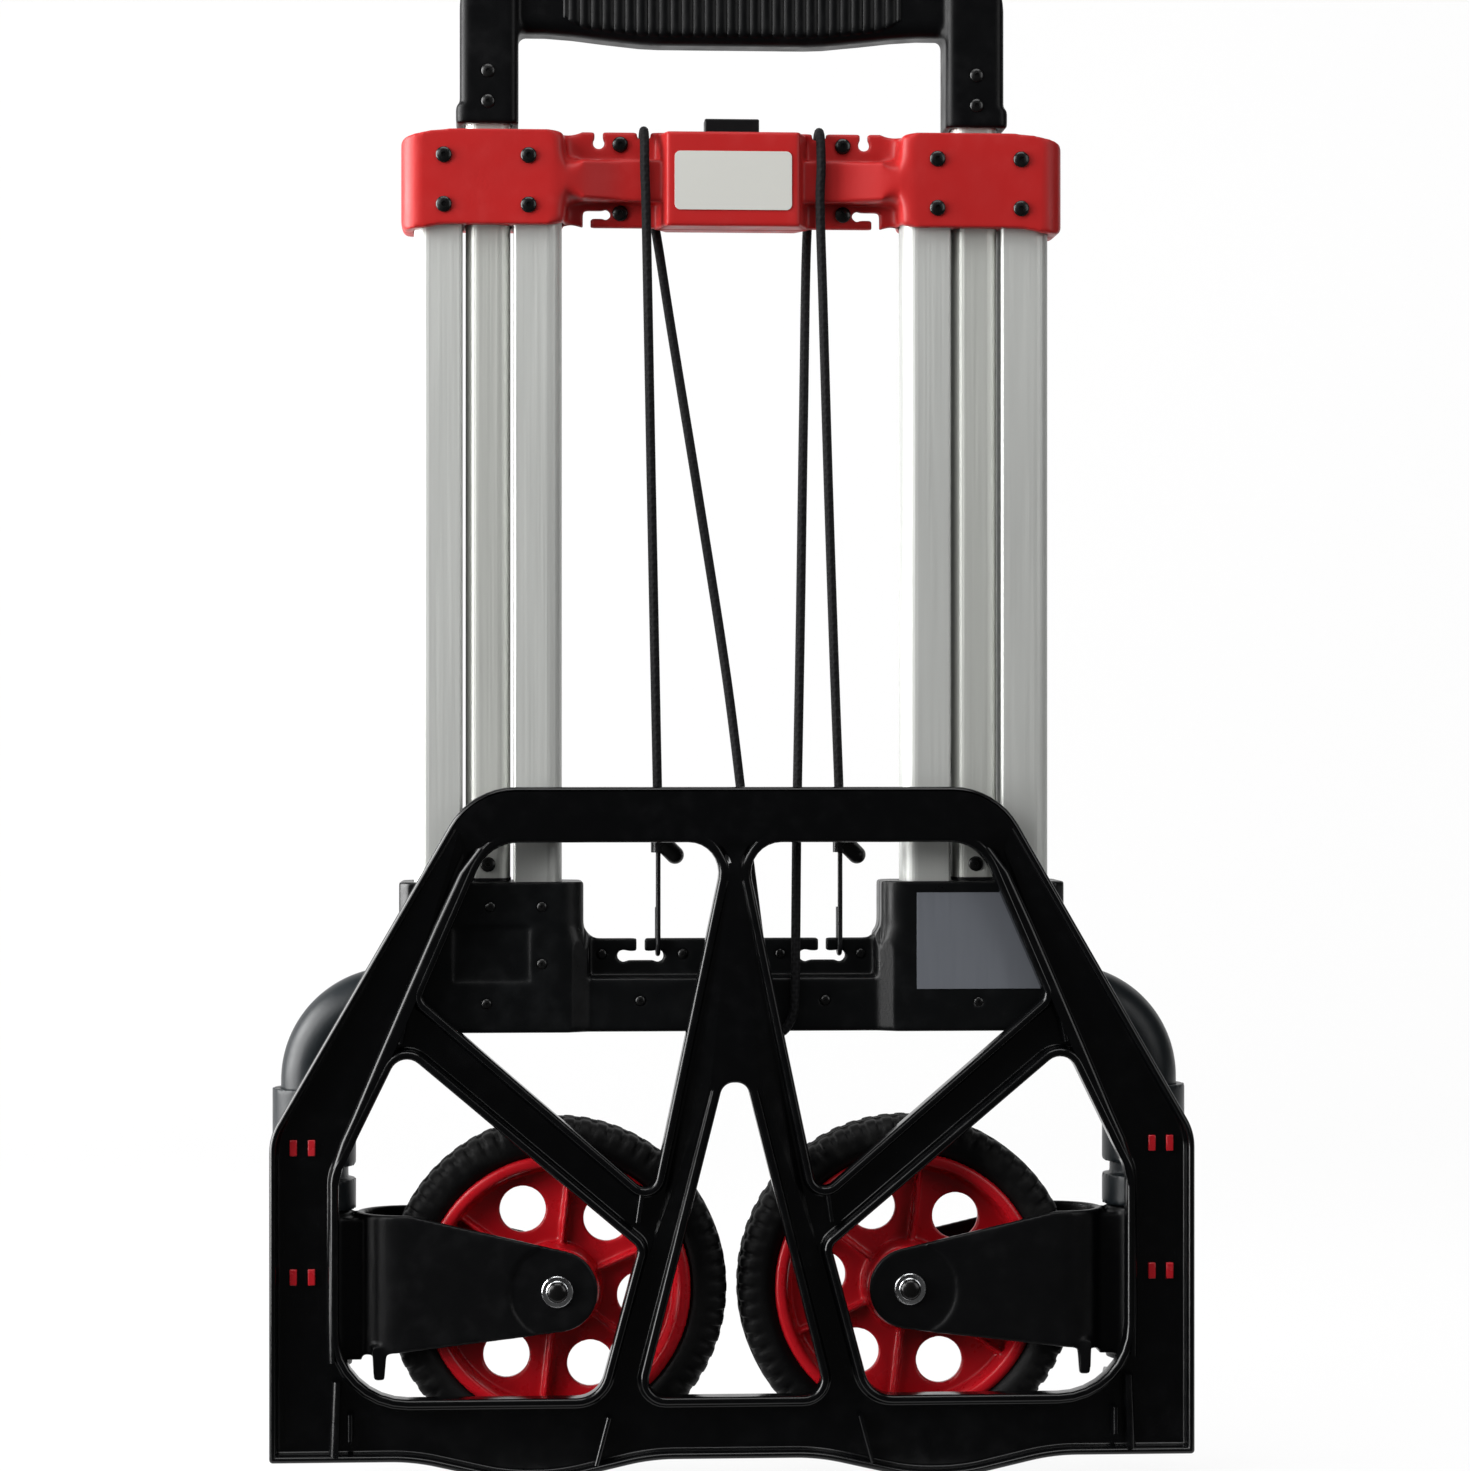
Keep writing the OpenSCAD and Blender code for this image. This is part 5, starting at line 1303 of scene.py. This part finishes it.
class Cart:
    """Every sub-assembly of the cart, in the order in which it is built."""

    kept = {
        Finish.RAIL: ["rail_outer_left", "rail_outer_right", "rail_inner_left", "rail_inner_right"],
        Finish.HANDLE_TUBE: ["handle_tube_left", "handle_tube_right"],
        Finish.ELBOW_GREY: ["shoulder_left", "shoulder_right"],
        Finish.POST_STEEL: ["post_left", "post_right"],
        Finish.PIN_STEEL: ["hinge_pin_left", "hinge_pin_right", "lock_bolt_left", "lock_bolt_right",
                           "bolt_spring"],
        Finish.SHOE_BLACK: ["guide_shoes"],
        Finish.BUSH_WHITE: ["wheel_bush_left", "wheel_bush_right"],
        Finish.HOOK_WIRE: ["cord_hooks"],
        Finish.CORD_END: ["cord_ends"],
    }
    mouldings = [
        ("upper_bracket_front", Finish.BRACKET_RED, 0.95, 7),
        ("upper_bracket_rear", Finish.BRACKET_RED, 1.0, 6),
        ("lower_bracket_front", Finish.BRACKET_CHARCOAL, 1.1, 7),
        ("lower_bracket_rear", Finish.BRACKET_CHARCOAL, 1.2, 6),
        ("handle_grip", Finish.GRIP_BLACK, 1.1, 7),
        *[(f"{part}_{side}", finish, grain, passes)
          for part, finish, grain, passes in (
              ("carrier", Finish.CARRIER_BLACK, 1.1, 3), ("rim", Finish.RIM_RED, 1.0, 4),
              ("collar", Finish.ELBOW_GREY, 1.0, 3), ("post_ring", Finish.ELBOW_GREY, 1.0, 3),
              ("foot_block", Finish.FOOT_BLACK, 1.0, 3))
          for side in SIDES],
    ]
    rounded = [
        ("upper_label", Finish.LABEL_WHITE, 0.12), ("lower_label", Finish.LABEL_GREY, 0.1),
        ("release_button", Finish.BUTTON_BLACK, 0.8), ("plate_buffers", Finish.BUFFER_RED, 0.5),
    ]

    def make(self) -> None:
        """Builds the whole cart."""
        ElasticCord().make()
        for finish, nodes in self.kept.items():
            for node in nodes:
                dress(node, finish)
        shells = {entry[0]: moulded(*entry) for entry in self.mouldings}
        self.fill_band(shells["upper_bracket_front"])
        for half in ("front", "rear"):
            self.ease_blocks(shells[f"upper_bracket_{half}"])
        self.round_inner_ends(shells["lower_bracket_front"])
        grip = GripBar()
        grip.round_off(shells["handle_grip"])
        grip.make_ribs()
        for entry in self.rounded:
            softened(*entry)
        for node in ("upper_bracket_screws", "lower_bracket_screws", "handle_rivets", "guide_rivets"):
            DomedHeads(node, Finish.SCREW_BLACK).make()
        ToePlate().make()
        for side in SIDES:
            Tyre(side).make()
            AxleBolt(side).make()

    def fill_band(self, bracket: bpy.types.Object, start: float = 52.0, end: float = 92.0,
                  half_band: float = 12.0, sunk: float = 0.6) -> None:
        """Lets the band of the upper bracket rise towards the face of each end block, in a long soft slope.

        Args:
            bracket: the front half of the upper bracket.
            start: the distance from the middle at which the slope begins.
            end: the distance at which it has risen.
            half_band: half the band's height.
            sunk: how far below the blocks' faces it ends.
        """
        places = places_of(bracket)
        across = np.abs(places[:, 0])
        low, high = (c.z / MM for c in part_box("upper_bracket_front"))
        face = places[:, 1].min()
        rise = soft_ends(np.clip((across - start) / (end - start), 0, 1))
        band = np.clip((half_band - np.abs(places[:, 2] - (low + high) / 2)) / 2.5, 0, 1)
        wanted = places[:, 1] + (face + sunk - places[:, 1]) * rise * band
        on_front = (places[:, 1] < -8.5) & (across > start) & (across < end)
        places[:, 1] = np.where(on_front, wanted, places[:, 1])
        put_back(bracket, places)

    def ease_blocks(self, bracket: bpy.types.Object, middle: float = 88.5, reach: float = 9.0,
                    passes: int = 60) -> None:
        """Gives the inner ends of a bracket's two blocks a soft slope down to the band between them."""
        across = np.abs(places_of(bracket)[:, 0])
        share = np.clip(1.6 - 1.6 * np.abs(across - middle) / reach, 0, 1)
        eased(bracket, share, passes)

    def round_inner_ends(self, bracket: bpy.types.Object, start: float = 78.4, run: float = 14.0,
                         bridge_top: float = 276.0, shallow: float = 15.5, deeper: float = 8.5) -> None:
        """Rounds the inner end of each end block, like a quarter of an ellipse seen from above.

        Args:
            bracket: the front half of the lower bracket.
            start: the distance from the middle at which a block begins.
            run: how far the rounding reaches.
            bridge_top: the height above which a block stands free of the bridge, and is rounded deeper.
            shallow: how far forward the rounding starts beside the bridge.
            deeper: how much further back it starts above the bridge.
        """
        places = places_of(bracket)
        across, depth = np.abs(places[:, 0]), -places[:, 1]
        face = depth.max()
        base = shallow - deeper * np.clip((places[:, 2] - bridge_top) / 14, 0, 1)
        part = np.clip((across - start) / run, 0, 1)
        limit = base + (face - base) * np.sqrt(1 - (1 - part) ** 2)
        near = (across > start - 3) & (depth > base)
        places[:, 1] = np.where(near, -np.minimum(depth, limit), places[:, 1])
        put_back(bracket, places)


# ---- Studio ----


@dataclass
class Studio:
    """A pale floor and backdrop, soft lamps and the camera."""

    distance: float = 2.1
    azimuth: float = -3.5
    lens: float = 98.0
    aim: tuple = (0.0, -0.03, 0.39)
    floor_front: float = -0.07
    half_width: float = 4.0
    back: float = 1.6
    bend: float = 1.0
    height: float = 4.0

    def facing(self, place: Vector) -> Euler:
        """The turn that points a lamp or camera at the cart."""
        return (Vector(self.aim) - place).to_track_quat("-Z", "Y").to_euler()

    def camera(self) -> None:
        """Sets the camera level with the middle of the cart, a little to its left."""
        turn = math.radians(self.azimuth)
        place = Vector(self.aim) + self.distance * Vector((math.sin(turn), -math.cos(turn), 0))
        data = bpy.data.cameras.new("camera")
        data.lens = self.lens
        data.sensor_width = 36.0
        camera = new_object("camera", data)
        camera.location = place
        camera.rotation_euler = self.facing(place)
        bpy.context.scene.camera = camera

    def lamp(self, name: str, place: tuple, size: tuple, power: float) -> None:
        """One soft rectangular lamp, turned towards the cart."""
        data = bpy.data.lights.new(name, "AREA")
        data.shape = "RECTANGLE"
        data.size, data.size_y = size
        data.energy = power
        lamp = new_object(name, data)
        lamp.location = place
        lamp.rotation_euler = self.facing(Vector(place))

    def backdrop_material(self) -> bpy.types.Material:
        """White where the camera or a reflection sees it, with the cart's shadow left in."""
        material, w, shader = new_material("backdrop")
        shader.inputs["Base Color"].default_value = grey(0.82)
        shader.inputs["Roughness"].default_value = 0.9
        glow = w.node("Emission", Color=grey(1.0), Strength=1.0)
        path = w.node("LightPath")
        seen = w.maths("MAXIMUM", path.outputs["Is Camera Ray"], path.outputs["Is Glossy Ray"])
        seen = w.maths("MAXIMUM", seen, path.outputs["Is Transmission Ray"])
        mix = w.node("MixShader")
        w.feed(mix, 0, w.maths("MULTIPLY", seen, 0.93))
        w.feed(mix, 1, shader.outputs[0])
        w.feed(mix, 2, glow.outputs[0])
        end = material.node_tree.nodes["Material Output"]
        w.feed(end, "Surface", mix.outputs[0])
        return material

    def make(self) -> None:
        """Builds the stage."""
        self.camera()
        x = np.array([-self.half_width, self.half_width])
        turn = np.radians(np.linspace(0, 90, 17))
        y = np.concatenate([[self.floor_front], self.back + self.bend * np.sin(turn),
                            [self.back + self.bend]])
        z = np.concatenate([[0.0], self.bend - self.bend * np.cos(turn), [self.height]])
        points = np.stack([np.broadcast_to(x[None], (len(y), 2)), np.broadcast_to(y[:, None], (len(y), 2)),
                           np.broadcast_to(z[:, None], (len(y), 2))], -1).reshape(-1, 3)
        mesh = bpy.data.meshes.new("backdrop")
        mesh.from_pydata(points.tolist(), [], grid_faces(len(y), 2, False).tolist())
        mesh.shade_smooth()
        mesh.materials.append(self.backdrop_material())
        new_object("backdrop", mesh)
        self.lamp("left_window", (-2.2, -0.5, 0.85), (1.6, 2.2), 145.0)
        self.lamp("left_strip", (-2.0, 0.3, 0.6), (0.9, 2.2), 70.0)
        self.lamp("right_fill", (1.9, -1.5, 1.2), (1.2, 1.6), 15.0)
        self.lamp("left_fill", (-1.7, -1.7, 1.5), (1.2, 1.2), 22.0)
        self.lamp("overhead", (0.0, -0.9, 2.4), (1.8, 1.0), 26.0)
        world = bpy.data.worlds.new("studio")
        bpy.context.scene.world = world
        world.use_nodes = True
        w = Wiring(world.node_tree)
        room = world.node_tree.nodes["Background"]
        room.inputs["Color"].default_value = grey(1.0)
        room.inputs["Strength"].default_value = 0.06
        white = w.node("Background", Color=grey(1.0), Strength=1.0)
        mix = w.node("MixShader")
        w.feed(mix, 0, w.node("LightPath").outputs["Is Camera Ray"])
        w.feed(mix, 1, room.outputs[0])
        w.feed(mix, 2, white.outputs[0])
        w.feed(world.node_tree.nodes["World Output"], "Surface", mix.outputs[0])
        bpy.context.scene.view_settings.view_transform = "Standard"


def main() -> None:
    """Builds the stage and the cart."""
    logging.basicConfig(level=logging.INFO, format="%(message)s")
    Studio().make()
    Cart().make()


if __name__ == "__main__":
    main()
